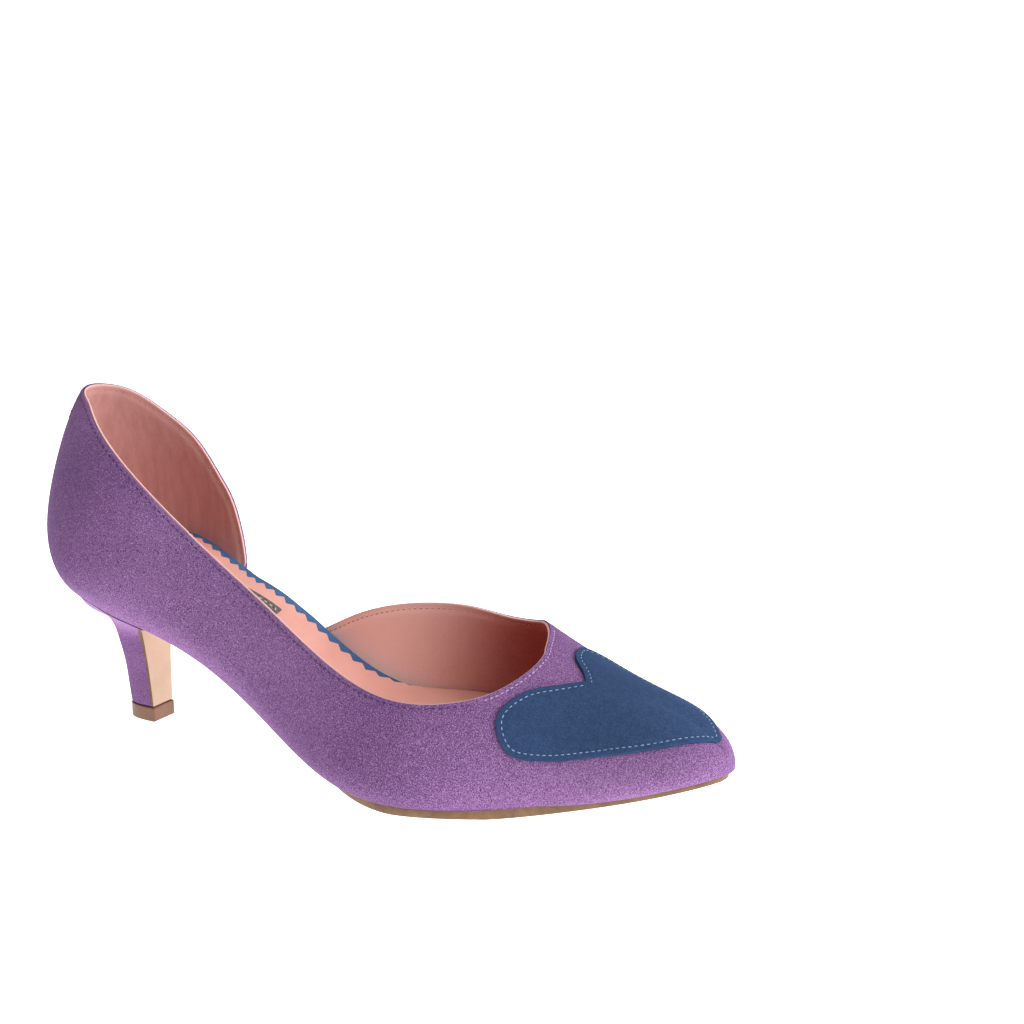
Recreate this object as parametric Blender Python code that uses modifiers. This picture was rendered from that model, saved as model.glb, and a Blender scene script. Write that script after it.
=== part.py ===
# Half d'Orsay court shoe for the right foot: pointed toe, kitten heel, heart on the vamp.
# The frame is +X to the toe, +Y to the inner side of the foot, +Z up, floor at zero.
# Tables give the sample last in millimetres, x from the back of the heel, and are graded to size.

from collections import namedtuple
import math

import bmesh
import bpy
from mathutils import Matrix
import numpy as np

# Driving dimensions in millimetres
LENGTH = 246.0
BALL_WIDTH = 79.0
BACK_HEIGHT = 104.5
WALL = 1.8
GAP = 0.3
SOLE_THICKNESS = 2.5
FLAP_THICKNESS = 1.6
FLAP_BEND = 5.0
LIFT_HEIGHT = 4.7
SOCK_THICKNESS = 0.5
LABEL_SIZE = (46.0, 14.0, 0.6)
LABEL_PLACE = (53.5, 3.2)
LABEL_TURN = math.radians(-6.5)
SOCK_MARGIN = 3.2
OPEN_EDGE = 0.5
INSOLE_GAP = 0.6
HEART_THICKNESS = 1.1
HEART_GAP = 0.4
TAB_THICKNESS = 0.7
TAB_HEIGHT = 8.5
LASTING_MARGIN = 15.0

# The sample last that the tables describe, and how this size is graded from it
GRADE_X = LENGTH / 246.0
GRADE_Y = BALL_WIDTH / 79.0
GRADE_Z = BACK_HEIGHT / 104.5
MM = 0.001

Rib = namedtuple("Rib", "name x y lift bulge bulge_z lean_x arch")
Foot = namedtuple("Foot", "name x z")
Ridge = namedtuple("Ridge", "name x y z")
Edge = namedtuple("Edge", "name x z")
Seat = namedtuple("Seat", "name x height")
Waist = namedtuple("Waist", "name x lateral medial")
Slice = namedtuple("Slice", "name z back front half middle")
Lobe = namedtuple("Lobe", "name x off")

# Ribs of the last: each starts on the feather line at x, y, swells by bulge at bulge_z above it
# and leans over to the ridge at lean_x; arch is the roundness of its arc
RIBS = [
    Rib("medial waist", 106.0, 18.0, 2.5, 2.0, 10.0, 104.0, 2.4),
    Rib("medial seat", 50.0, 21.5, 3.0, 5.0, 16.0, 55.0, 2.4),
    Rib("heel inner", 21.0, 18.5, 0.0, 10.0, 19.8, 39.0, 2.15),
    Rib("heel back", 8.4, 1.5, 0.0, 11.5, 22.5, 33.0, 3.1),
    Rib("heel outer", 18.4, -16.5, 0.0, 7.9, 20.0, 33.5, 2.5),
    Rib("lateral seat", 49.5, -26.0, 0.0, 5.0, 19.0, 55.0, 2.4),
    Rib("lateral waist", 98.0, -31.0, 0.0, 3.0, 12.0, 100.0, 2.4),
    Rib("lateral joint", 149.5, -43.0, 0.0, 3.0, 10.0, 150.0, 2.2),
    Rib("lateral toe", 197.0, -23.0, 0.0, 1.7, 6.6, 198.0, 2.0),
    Rib("lateral tip", 236.0, -9.2, 0.0, 1.7, 4.5, 230.0, 2.0),
    Rib("tip", 242.4, 0.0, 0.0, 0.2, 5.5, 239.5, 2.0),
    Rib("medial tip", 238.0, 10.0, 0.0, 0.8, 7.0, 232.0, 2.0),
    Rib("medial toe", 215.0, 25.5, 0.0, 2.8, 9.5, 206.0, 2.0),
    Rib("medial joint", 173.5, 36.0, 1.2, 3.5, 11.5, 170.0, 2.2),
    Rib("medial arch", 137.0, 29.0, 3.4, 2.5, 10.0, 138.0, 2.4),
]

# Height of the feather line, from the seat over the tread to the toe spring
FEATHER = [
    Foot("back", 11.0, 39.0),
    Foot("breast", 45.0, 37.8),
    Foot("shank", 75.0, 29.0),
    Foot("waist", 105.0, 14.0),
    Foot("rise", 132.0, 5.1),
    Foot("tread", 155.0, 2.6),
    Foot("ball", 180.0, 2.9),
    Foot("toe", 215.0, 8.9),
    Foot("tip", 246.0, 16.2),
]

# Ridge of the vamp; behind the throat it goes on as the cone of the last, which the walls lean to
RIDGE = [
    Ridge("back cone", 30.0, 0.0, 105.0),
    Ridge("heel cone", 40.0, 0.0, 131.5),
    Ridge("top cone", 60.0, 0.0, 136.5),
    Ridge("mid cone", 90.0, -1.0, 122.0),
    Ridge("front cone", 120.0, -2.0, 92.0),
    Ridge("instep", 150.0, -1.0, 62.0),
    Ridge("throat", 178.0, 2.0, 43.6),
    Ridge("vamp", 200.0, 1.5, 35.4),
    Ridge("toe box", 225.0, 2.3, 28.7),
    Ridge("toe", 242.0, 1.7, 20.0),
]

# Foremost point of the throat: where its rib leans to, and how far it stops short of the ridge
THROAT_LEAN = 181.6
THROAT_TURN = math.radians(16.0)

# Topline height over each station of the feather line
LATERAL_EDGE = [
    Edge("back", 8.5, 104.0),
    Edge("corner", 13.0, 104.3),
    Edge("tab", 22.0, 103.5),
    Edge("heel", 31.5, 98.5),
    Edge("quarter", 54.0, 83.3),
    Edge("waist", 88.0, 60.4),
    Edge("low quarter", 127.0, 41.8),
    Edge("dip", 157.0, 33.2),
    Edge("rise", 168.0, 33.5),
    Edge("wing", 175.4, 36.0),
]
COUNTER_EDGE = [
    Edge("back", 8.5, 104.0),
    Edge("tab", 14.9, 101.5),
    Edge("inner heel", 26.5, 91.5),
    Edge("front", 38.8, 80.0),
    Edge("slope", 47.2, 65.7),
    Edge("foot", 52.5, 46.0),
]
VAMP_EDGE = [
    Edge("foot", 87.0, 31.2),
    Edge("arch", 99.0, 37.6),
    Edge("rise", 115.0, 42.7),
    Edge("crest", 136.0, 43.7),
    Edge("wing", 164.0, 43.6),
    Edge("turn", 168.5, 44.8),
]

# Top of the insole over the feather line, and how far the sole is set in from it at the waist
FOOTBED = [
    Seat("heel", 8.0, 14.0),
    Seat("seat", 31.0, 12.6),
    Seat("breast", 51.0, 6.9),
    Seat("shank", 72.0, 7.2),
    Seat("waist", 100.0, 6.2),
    Seat("joint", 120.0, 5.2),
    Seat("ball", 158.0, 4.6),
    Seat("toe", 240.0, 4.2),
]
SOLE_INSET = [
    Waist("breast", 42.0, 14.5, 13.0),
    Waist("shank", 62.0, 13.5, 9.0),
    Waist("waist", 95.0, 10.0, 6.5),
    Waist("joint", 125.0, 4.5, 3.5),
    Waist("tread", 150.0, 1.0, 0.6),
    Waist("toe", 215.0, 0.5, 0.5),
    Waist("tip", 246.0, 2.2, 2.2),
]

# Heel from the seat down: its back and front, half its width and its middle line
HEEL = [
    Slice("cup", 36.2, 14.2, 33.5, 14.0, -0.2),
    Slice("neck", 33.6, 17.4, 33.6, 10.4, -0.7),
    Slice("upper stem", 30.0, 19.8, 33.9, 7.9, -1.2),
    Slice("stem", 25.0, 22.0, 34.3, 6.8, -1.6),
    Slice("lower stem", 18.0, 24.2, 34.9, 5.9, -2.0),
    Slice("ankle", 11.0, 25.3, 35.4, 5.4, -2.2),
    Slice("foot", 5.0, 26.2, 35.8, 5.0, -2.4),
]

# Half outline of the heart in plan: station along the toe, and distance off its middle line
HEART_CENTRE = 205.0
HEART_AXIS = ((195.6, -2.9), (239.0, 2.3))
HEART_SKEW = 0.09
HEART = [
    Lobe("notch", 195.6, 0.0),
    Lobe("cleft", 191.5, 4.6),
    Lobe("crown", 185.8, 9.6),
    Lobe("shoulder", 181.8, 15.0),
    Lobe("lobe", 180.3, 20.0),
    Lobe("corner", 183.0, 22.9),
    Lobe("belly", 190.6, 21.8),
    Lobe("flank", 206.0, 18.3),
    Lobe("taper", 222.6, 14.1),
    Lobe("cheek", 231.2, 9.7),
    Lobe("point", 237.8, 0.0),
]

# Colours as seen, 0 to 255, with roughness
FINISHES = {
    "upper": ((130, 93, 140), 0.95),
    "heart_overlay": ((56, 80, 114), 0.95),
    "back_tab": ((130, 93, 140), 0.95),
    "outsole": ((206, 164, 140), 0.55),
    "heel": ((150, 108, 158), 0.95),
    "top_lift": ((150, 112, 92), 0.5),
    "insole": ((56, 80, 114), 0.95),
    "sock": ((226, 158, 141), 0.6),
    "label": ((105, 100, 100), 0.6),
}


def spline(knots, values, at, closed=False):
    """Smooth cubic through the knots, natural at its ends or running round when closed."""
    knots = np.asarray(knots, float)
    values = np.asarray(values, float)
    at = np.asarray(at, float)
    count = len(knots)
    step = np.diff(knots)
    slope = np.diff(values, axis=0) / step[:, None]
    matrix = np.zeros((count, count))
    right = np.zeros_like(values)
    for i in range(1, count - 1):
        matrix[i, i - 1:i + 2] = 1 / step[i - 1], 2 / step[i - 1] + 2 / step[i], 1 / step[i]
        right[i] = 3 * (slope[i - 1] / step[i - 1] + slope[i] / step[i])
    if closed:
        matrix[0, 0] = 2 / step[-1] + 2 / step[0]
        matrix[0, 1] = 1 / step[0]
        matrix[0, -2] = 1 / step[-1]
        right[0] = 3 * (slope[-1] / step[-1] + slope[0] / step[0])
        matrix[-1, 0] = -1
        matrix[-1, -1] = 1
    else:
        matrix[0, :2] = 2, 1
        right[0] = 3 * slope[0]
        matrix[-1, -2:] = 1, 2
        right[-1] = 3 * slope[-1]
    tangent = np.linalg.solve(matrix, right)
    i = np.clip(np.searchsorted(knots, at, side="right") - 1, 0, count - 2)
    t = ((at - knots[i]) / step[i])[..., None]
    h = step[i][..., None]
    start = (1 + 2 * t) * (1 - t) ** 2 * values[i] + t * (1 - t) ** 2 * h * tangent[i]
    end = t ** 2 * (3 - 2 * t) * values[i + 1] + t ** 2 * (t - 1) * h * tangent[i + 1]
    return start + end


def column(table, name, grade=1.0):
    return np.array([getattr(row, name) for row in table]) * grade


def along(table, name, at, grade=1.0):
    """One column of a table at the stations asked for, held level past its ends."""
    x = column(table, "x", GRADE_X)
    values = column(table, name, grade)[:, None]
    return spline(x, values, np.clip(at, x[0], x[-1]))[..., 0]


def smoothstep(t):
    t = np.clip(t, 0.0, 1.0)
    return t * t * (3 - 2 * t)


class Last:
    """The last, with u running along the feather line and phi up each rib to the ridge."""

    def __init__(self):
        rows = RIBS + RIBS[:1]
        self.table = np.stack([
            column(rows, "x", GRADE_X), column(rows, "y", GRADE_Y), column(rows, "lift", GRADE_Z),
            column(rows, "bulge", GRADE_Y), column(rows, "bulge_z", GRADE_Z),
            column(rows, "lean_x", GRADE_X), column(rows, "arch")], axis=1)
        stride = np.hypot(*np.diff(self.table[:, :2], axis=0).T)
        self.knots = np.concatenate([[0.0], np.cumsum(stride)])
        self.round = self.knots[-1]
        fine = np.linspace(0.0, self.round, 1441)
        x, y, lift = self.rows(fine)[:, :3].T
        self.back = fine[np.argmin(x)]
        self.tip = fine[np.argmax(x)]
        self.fine_lateral = np.linspace(self.back, self.tip, 721)
        self.fine_medial = np.linspace(self.round + self.back, self.tip, 721)

    def rows(self, u):
        return spline(self.knots, self.table, np.mod(u, self.round), closed=True)

    def find(self, side, name, value):
        """The place u on one side where a column of the ribs, x or lean_x, has a value."""
        fine = self.fine_lateral if side < 0 else self.fine_medial
        values = self.rows(fine)[:, 0 if name == "x" else 5]
        return np.interp(np.asarray(value) * GRADE_X, np.maximum.accumulate(values), fine)

    def floor(self, x, y):
        """Underside of the last: the feather height, raised on the inner side by the arch."""
        rail = self.rows(self.fine_medial)
        edge = np.interp(x, rail[:, 0], rail[:, 1])
        lift = np.interp(x, rail[:, 0], rail[:, 2])
        return along(FEATHER, "z", x, GRADE_Z) + lift * smoothstep(y / np.maximum(edge, 1.0))

    def foot(self, u):
        rows = self.rows(u)
        return rows, along(FEATHER, "z", rows[..., 0], GRADE_Z) + rows[..., 2]

    def ridge(self, x):
        knots = column(RIDGE, "x", GRADE_X)
        values = np.stack([column(RIDGE, "y", GRADE_Y), column(RIDGE, "z", GRADE_Z)], axis=1)
        return spline(knots, values, x)

    def phi_at(self, u, z):
        """How far up its rib the wall reaches a height z."""
        rows, base = self.foot(u)
        rise = self.ridge(rows[..., 5])[..., 1] - base
        share = np.clip((z - base) / rise, 0.0, 1.0)
        return np.arcsin(share ** (rows[..., 6] / 2))

    def wall(self, u, phi):
        """A place on the wall; an angle past the ridge goes on down the other side of the vamp."""
        past = phi > math.pi / 2
        if np.any(past):
            lean = self.rows(u)[..., 5] / GRADE_X
            outer = (u > self.back) & (u < self.tip)
            twin = np.where(outer, self.find(1, "lean_x", lean), self.find(-1, "lean_x", lean))
            u = np.where(past, twin, u)
            phi = np.where(past, math.pi - phi, phi)
        rows, base = self.foot(u)
        x, y, _, bulge, bulge_z, lean, arch = np.moveaxis(rows, -1, 0)
        top = self.ridge(lean)
        across = np.stack([lean - x, top[..., 0] - y], axis=-1)
        reach = np.linalg.norm(across, axis=-1)
        across = across / reach[..., None]
        up = (top[..., 1] - base) * np.sin(phi) ** (2 / arch)
        swell = up / bulge_z * np.exp(1 - up / bulge_z)
        vamp = smoothstep((x / GRADE_X - 120.0) / 30.0)
        swell *= 1 - vamp * (1 - smoothstep((math.pi / 2 - phi) / 0.3))
        inward = reach * (1 - np.maximum(np.cos(phi), 0.0) ** (2 / arch)) - bulge * swell
        return np.stack([x + across[..., 0] * inward, y + across[..., 1] * inward, base + up], axis=-1)

    def over(self, x, y):
        """The place on the vamp straight over a point of the plan, by closing in on its rib."""
        outer = y < self.ridge(x)[..., 0]
        lean = np.array(x, float)
        for _ in range(24):
            u = np.where(outer, self.find(-1, "lean_x", lean / GRADE_X),
                         self.find(1, "lean_x", lean / GRADE_X))
            foot_x, foot_y = self.rows(u)[..., :2].T
            share = (y - foot_y) / (self.ridge(lean)[..., 0] - foot_y)
            lean += x - foot_x - (lean - foot_x) * share
        steps = np.linspace(0.15, math.pi / 2, 120)
        climb = self.wall(np.repeat(u[:, None], len(steps), axis=1), np.tile(steps, (len(u), 1)))
        inward = np.where(outer, 1.0, -1.0)
        phi = [np.interp(s * level, s * line, steps)
               for s, level, line in zip(inward, y, climb[..., 1])]
        return u, np.array(phi)

    def skin(self, u, phi, out):
        """The wall moved out along its own normal, or in where out is negative."""
        du = 0.05
        low = np.maximum(phi - 0.002, 0.0005)
        along_u = self.wall(u + du, phi) - self.wall(u - du, phi)
        up = self.wall(u, low + 0.004) - self.wall(u, low)
        normal = np.cross(along_u, up)
        normal /= np.linalg.norm(normal, axis=-1)[..., None]
        return self.wall(u, phi) + normal * np.asarray(out)[..., None]


LAST = Last()
GAP_START = LAST.find(1, "x", COUNTER_EDGE[-1].x) - LAST.round
GAP_END = LAST.find(1, "x", VAMP_EDGE[0].x)
THROAT_LATERAL = LAST.find(-1, "lean_x", THROAT_LEAN)
THROAT_MEDIAL = LAST.find(1, "lean_x", THROAT_LEAN)


def edge_angle(table, side, u, throat=None):
    """Angle up the rib of an edge whose table gives heights; it rounds the throat if one is given."""
    rows = sorted(table, key=lambda row: row.x)
    station = LAST.rows(u)[:, 0] / GRADE_X
    phi = LAST.phi_at(u, along(rows, "z", station * GRADE_X, GRADE_Z))
    if throat is None:
        return phi
    end = LAST.rows(throat)[0] / GRADE_X
    x = column(rows, "x")
    turns = LAST.phi_at(LAST.find(side, "x", x), column(rows, "z", GRADE_Z))
    knots = np.append(np.sqrt(end - x), 0.0)[::-1]
    spread = np.append(np.cos(turns) ** 0.85, -side * math.sin(THROAT_TURN) ** 0.85)[::-1]
    share = spline(knots, spread[:, None], np.sqrt(np.maximum(end - station, 0.0)))[:, 0]
    rounded = np.arccos(np.clip(np.abs(share), 0.0, 1.0) ** (1 / 0.85))
    rounded = np.where(share < 0.0, math.pi - rounded, rounded)
    return phi + (rounded - phi) * smoothstep((station - 120.0) / 30.0)


def topline(u):
    """Angle up the rib where the upper is cut, and ahead of the throat where its two sides meet."""
    ahead = smoothstep((LAST.rows(u)[:, 5] / GRADE_X - THROAT_LEAN) / 30.0)
    phi = math.pi / 2 + np.where(u > LAST.tip, 1.0, -1.0) * THROAT_TURN * (1 - ahead)
    counter = u <= LAST.back + 1e-6
    quarter = (u > LAST.back + 1e-6) & (u <= THROAT_LATERAL + 1e-6)
    vamp = u >= THROAT_MEDIAL - 1e-6
    phi[counter] = edge_angle(COUNTER_EDGE, 1, u[counter])
    phi[quarter] = edge_angle(LATERAL_EDGE, -1, u[quarter], THROAT_LATERAL)
    phi[vamp] = edge_angle(VAMP_EDGE, 1, u[vamp], THROAT_MEDIAL)
    return phi


def new_object(name, bm):
    """A named object from a bmesh in millimetres, with its own material."""
    bmesh.ops.scale(bm, vec=(MM, MM, MM), verts=bm.verts)
    mesh = bpy.data.meshes.new(name)
    bm.to_mesh(mesh)
    bm.free()
    mesh.shade_smooth()
    obj = bpy.data.objects.new(name, mesh)
    colour, roughness = FINISHES[name]
    material = bpy.data.materials.new(name)
    material.use_nodes = True
    shader = material.node_tree.nodes["Principled BSDF"]
    linear = [(c / 255 / 12.92) if c < 11 else ((c / 255 + 0.055) / 1.055) ** 2.4 for c in colour]
    shader.inputs["Base Color"].default_value = (*linear, 1.0)
    shader.inputs["Roughness"].default_value = roughness
    mesh.materials.append(material)
    bpy.data.collections["court_shoe"].objects.link(obj)
    return obj


def shell(name, points, thickness, offset):
    """A solid wall from a grid of points: a shaped grid with Solidify."""
    points = np.asarray(points)
    across, up = points.shape[:2]
    bm = bmesh.new()
    bmesh.ops.create_grid(bm, x_segments=across - 1, y_segments=up - 1, size=1.0)
    bm.verts.ensure_lookup_table()
    for vert, place in zip(bm.verts, points.transpose(1, 0, 2).reshape(-1, 3)):
        vert.co = place
    bmesh.ops.remove_doubles(bm, verts=bm.verts, dist=0.01)
    obj = new_object(name, bm)
    wall = obj.modifiers.new("wall", "SOLIDIFY")
    wall.thickness = thickness * MM
    wall.offset = offset
    wall.use_even_offset = True
    wall.use_quality_normals = True
    return obj


def loft(name, rings):
    """A closed solid through rings of equal count, capped at both ends."""
    bm = bmesh.new()
    loops = [[bm.verts.new(point) for point in ring] for ring in rings]
    for low, high in zip(loops, loops[1:]):
        for i in range(len(low)):
            j = (i + 1) % len(low)
            bm.faces.new((low[i], low[j], high[j], high[i]))
    bm.faces.new(loops[0][::-1])
    bm.faces.new(loops[-1])
    bmesh.ops.triangulate(bm, faces=bm.faces)
    bmesh.ops.recalc_face_normals(bm, faces=bm.faces)
    if bm.calc_volume(signed=True) < 0.0:
        bmesh.ops.reverse_faces(bm, faces=bm.faces)
    return new_object(name, bm)


def rails(outline, first, last, count):
    """Outer and inner edges of a closed outline at stations that crowd towards its ends."""
    outline = np.asarray(outline)
    back = np.argmin(outline[:, 0])
    outline = np.roll(outline, -back, axis=0)
    tip = np.argmax(outline[:, 0])
    outer = outline[:tip + 1]
    inner = np.vstack([outline[tip:], outline[:1]])[::-1]
    low = max(first, outline[0, 0] + 0.15)
    high = min(last, outline[tip, 0] - 0.15)
    x = low + (high - low) * (1 - np.cos(np.linspace(0.0, math.pi, count))) / 2
    lateral = np.interp(x, np.maximum.accumulate(outer[:, 0]), outer[:, 1])
    medial = np.interp(x, np.maximum.accumulate(inner[:, 0]), inner[:, 1])
    return x, lateral, medial


def crossing(x, lateral, medial, columns):
    """Points straight across from the outer rail to the inner one."""
    share = np.linspace(0.0, 1.0, columns)
    y = lateral[:, None] + (medial - lateral)[:, None] * share
    return np.repeat(x[:, None], columns, axis=1), y


def slab(name, top_rails, bottom_rails, top_z, bottom_z, columns):
    """A curved plate between two pairs of rails, its faces at the heights two functions give."""
    top_x, top_y = crossing(*top_rails, columns)
    low_x, low_y = crossing(*bottom_rails, columns)
    top = np.stack([top_x, top_y, top_z(top_x, top_y)], axis=-1)
    low = np.stack([low_x, low_y, bottom_z(low_x, low_y)], axis=-1)
    return loft(name, np.concatenate([top, low[:, ::-1]], axis=1))


def footbed(x):
    return along(FOOTBED, "height", x, GRADE_Z)


def inside_outline(height):
    """Outline of the space in the upper at a height over its floor, and of the board where it is open."""
    u = np.linspace(0.0, LAST.round, 361)[:-1]
    inset = WALL + INSOLE_GAP + 1.4 * smoothstep((LAST.rows(u)[:, 0] - 195.0 * GRADE_X) / 40.0)
    phi = np.linspace(0.0005, 1.3, 90)
    grid_u, grid_phi = np.meshgrid(u, phi, indexing="ij")
    grid = LAST.skin(grid_u, grid_phi, -np.repeat(inset[:, None], len(phi), axis=1))
    over = grid[..., 2] - LAST.floor(grid[..., 0], grid[..., 1]) - height(grid[..., 0])
    outline = []
    for line, level in zip(grid, over):
        level = np.maximum.accumulate(level)
        outline.append([np.interp(0.0, level, line[:, axis]) for axis in (0, 1)])
    around = np.where(u > LAST.back, u, u + LAST.round)
    opened = smoothstep((around - GAP_END - 1.0) / 7.0) * smoothstep((GAP_START + LAST.round - 1.0 - around) / 7.0)
    board = shrink(LAST.rows(u)[:, :2], OPEN_EDGE)
    return np.array(outline) + (board - np.array(outline)) * opened[:, None]


def shrink(outline, inset):
    """A closed outline moved inwards by one distance or by one for each point."""
    ahead = np.roll(outline, -1, axis=0) - np.roll(outline, 1, axis=0)
    ahead /= np.linalg.norm(ahead, axis=1)[:, None]
    inward = np.stack([-ahead[:, 1], ahead[:, 0]], axis=1)
    return outline + inward * np.asarray(inset).reshape(-1, 1)


def columns_between(first, last):
    """Places along the feather line, crowded where the topline climbs, falls or turns."""
    fine = np.linspace(first, last, 600)
    phi = topline(fine)
    step = np.diff(LAST.wall(fine, phi), axis=0)
    heading = np.unwrap(np.arctan2(step[:, 1], step[:, 0]))
    turn = np.abs(np.gradient(heading))
    run = np.linalg.norm(step, axis=1) / 14.0 + np.abs(np.diff(phi)) / 0.2 + turn / 0.24
    done = np.concatenate([[0.0], np.cumsum(run)])
    return np.interp(np.linspace(0.0, done[-1], round(done[-1]) + 1), done, fine)


def climb(u, top, count):
    """Angles up each rib that share its length evenly between the feather line and the top."""
    fine = top[:, None] * np.linspace(0.0, 1.0, 90)
    line = LAST.wall(np.repeat(u[:, None], 90, axis=1), fine)
    run = np.cumsum(np.linalg.norm(np.diff(line, axis=1), axis=2), axis=1)
    run = np.concatenate([np.zeros((len(u), 1)), run], axis=1)
    share = np.linspace(0.0, 1.0, count)
    return np.array([np.interp(share * far[-1], far, angles) for far, angles in zip(run, fine)])


def make_upper():
    """Wall from the lasting margin under the foot up to the topline, round from gap to gap."""
    leans = np.linspace(THROAT_LEAN, 238.8, 15)
    toe_lateral = LAST.find(-1, "lean_x", leans)
    toe_medial = LAST.find(1, "lean_x", leans)[::-1]
    counter = columns_between(GAP_START, LAST.back)
    quarter = columns_between(LAST.back, THROAT_LATERAL)
    vamp = columns_between(THROAT_MEDIAL, GAP_END)
    u = np.concatenate([counter[:-1], quarter[:-1], toe_lateral, [LAST.tip], toe_medial, vamp[1:]])
    phi = climb(u, topline(u), 11)
    wall = LAST.wall(np.repeat(u[:, None], phi.shape[1], axis=1), phi)
    first = len(counter) + len(quarter) - 2
    peak = wall[first:first + len(leans), -1]
    wall[first + len(leans) + 1:first + 2 * len(leans) + 1, -1] = peak[::-1]
    foot = wall[:, 0, :2]
    axis_x = np.clip(foot[:, 0], 35.0 * GRADE_X, 213.0 * GRADE_X)
    rail_outer = LAST.rows(LAST.find(-1, "x", axis_x / GRADE_X))[:, 1]
    rail_inner = LAST.rows(LAST.find(1, "x", axis_x / GRADE_X))[:, 1]
    centre = np.stack([axis_x, (rail_outer + rail_inner) / 2], axis=1)
    reach = np.linalg.norm(centre - foot, axis=1)
    margin = []
    for share in (1.0, 0.45):
        place = foot + (centre - foot) * (LASTING_MARGIN * share / reach)[:, None]
        margin.append(np.column_stack([place, LAST.floor(place[:, 0], place[:, 1])]))
    rows = np.concatenate([np.stack(margin, axis=1), wall], axis=1)
    return shell("upper", rows, WALL, -1.0)


def heart_edge(count):
    """Plan of the heart round from the notch: outer lobe, point, inner lobe."""
    half = np.array([[row.x, row.off] for row in HEART])
    stride = np.linalg.norm(np.diff(half, axis=0), axis=1)
    knots = np.concatenate([[0.0], np.cumsum(stride)])
    side = spline(knots, half, np.linspace(0.0, knots[-1], count))
    other = side[-2::-1] * (1.0, -1.0)
    return np.concatenate([side, other])


def heart_axis(x):
    (back, back_y), (point, point_y) = HEART_AXIS
    return back_y + (x - back) * (point_y - back_y) / (point - back)


def make_heart():
    """Patch of the vamp's own surface in rings from the middle of the heart to its edge."""
    edge = heart_edge(25)
    rings = []
    for share in np.linspace(0.0, 1.0, 6):
        x = HEART_CENTRE + (edge[:, 0] - HEART_CENTRE) * share
        y = heart_axis(x) - edge[:, 1] * share
        x -= HEART_SKEW * edge[:, 1] * share
        u, phi = LAST.over(x * GRADE_X, y * GRADE_Y)
        rings.append(LAST.skin(u, phi, np.full(len(u), HEART_GAP)))
    return shell("heart_overlay", np.array(rings).transpose(1, 0, 2)[::-1], HEART_THICKNESS, 1.0)


def make_back_tab():
    """Strip over the top of the back seam, from the outer quarter to the inner side."""
    u = np.linspace(LAST.back + 9.0, LAST.back - 15.0, 13)[::-1]
    top = topline(u)
    top_z = LAST.wall(u, top)[:, 2] - 0.4
    rows = []
    for share in np.linspace(0.0, 1.0, 5):
        phi = LAST.phi_at(u, top_z - TAB_HEIGHT * (1 - share))
        rows.append(LAST.skin(u, phi, np.full(len(u), GAP)))
    return shell("back_tab", np.array(rows).transpose(1, 0, 2), TAB_THICKNESS, 1.0)


def make_insole():
    """Covered board that fills the floor of the upper and shows its edge on the open side."""
    top = rails(inside_outline(footbed), -50.0, 232.0 * GRADE_X, 44)
    low = rails(inside_outline(lambda x: WALL + INSOLE_GAP), -50.0, 232.0 * GRADE_X, 44)
    return slab("insole", top, low,
                lambda x, y: LAST.floor(x, y) + footbed(x),
                lambda x, y: LAST.floor(x, y) + WALL + INSOLE_GAP, 7)


def make_sock():
    """Thin sheet on the insole, set in so that a margin of the insole shows round it."""
    outline = inside_outline(footbed)
    closing = smoothstep((outline[:, 0] / GRADE_X - 95.0) / 23.0) * (outline[:, 1] > 0.0)
    edge = shrink(outline, SOCK_MARGIN + (OPEN_EDGE - SOCK_MARGIN) * closing)
    pair = rails(edge, -50.0, 218.0 * GRADE_X, 40)
    return slab("sock", pair, pair,
                lambda x, y: LAST.floor(x, y) + footbed(x) + GAP + SOCK_THICKNESS,
                lambda x, y: LAST.floor(x, y) + footbed(x) + GAP, 7)


def make_label():
    """Bare woven label on the sock over the shank."""
    length, width, thickness = LABEL_SIZE
    ahead, aside = np.meshgrid(np.linspace(-length / 2, length / 2, 13),
                               np.linspace(-width / 2, width / 2, 5), indexing="ij")
    x = LABEL_PLACE[0] + ahead * math.cos(LABEL_TURN) - aside * math.sin(LABEL_TURN)
    y = LABEL_PLACE[1] + ahead * math.sin(LABEL_TURN) + aside * math.cos(LABEL_TURN)
    z = LAST.floor(x, y) + footbed(x) + 2 * GAP + SOCK_THICKNESS
    return shell("label", np.stack([x, y, z], axis=-1), thickness, 1.0)


def heel_ring(back, front, half, middle, z, count=22, straight=4):
    """D-shaped ring: a round back and sides, and a straight breast in front."""
    turn = np.linspace(-math.pi / 2, math.pi / 2, count)
    x = front - (front - back) * np.cos(turn) ** 0.75
    y = middle + half * np.sign(np.sin(turn)) * np.abs(np.sin(turn)) ** 0.9
    cross = np.linspace(y[-1], y[0], straight + 2)[1:-1]
    ring = np.stack([np.append(x, np.full(straight, front)), np.append(y, cross)], axis=1)
    return np.column_stack([ring, np.full(len(ring), z)])


def seat_ring(front, count=22, straight=4):
    """Top ring of the heel: the feather line round the seat, closed across the breast."""
    outer = LAST.find(-1, "x", front)
    inner = LAST.find(1, "x", front) - LAST.round
    rim = LAST.rows(np.linspace(outer, inner, count))[:, :2]
    middle = rim.mean(axis=0)
    rim = middle + (rim - middle) * 0.965
    rim[[0, -1], 0] = front * GRADE_X
    cross = np.linspace(rim[-1], rim[0], straight + 2)[1:-1]
    ring = np.vstack([rim, cross])
    return np.column_stack([ring, LAST.floor(ring[:, 0], ring[:, 1]) - GAP])


def make_heel():
    """Covered kitten heel from the seat to the top lift."""
    rings = [seat_ring(HEEL[0].front)]
    for row in HEEL:
        rings.append(heel_ring(row.back * GRADE_X, row.front * GRADE_X, row.half, row.middle, row.z * GRADE_Z))
    return loft("heel", rings)


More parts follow.
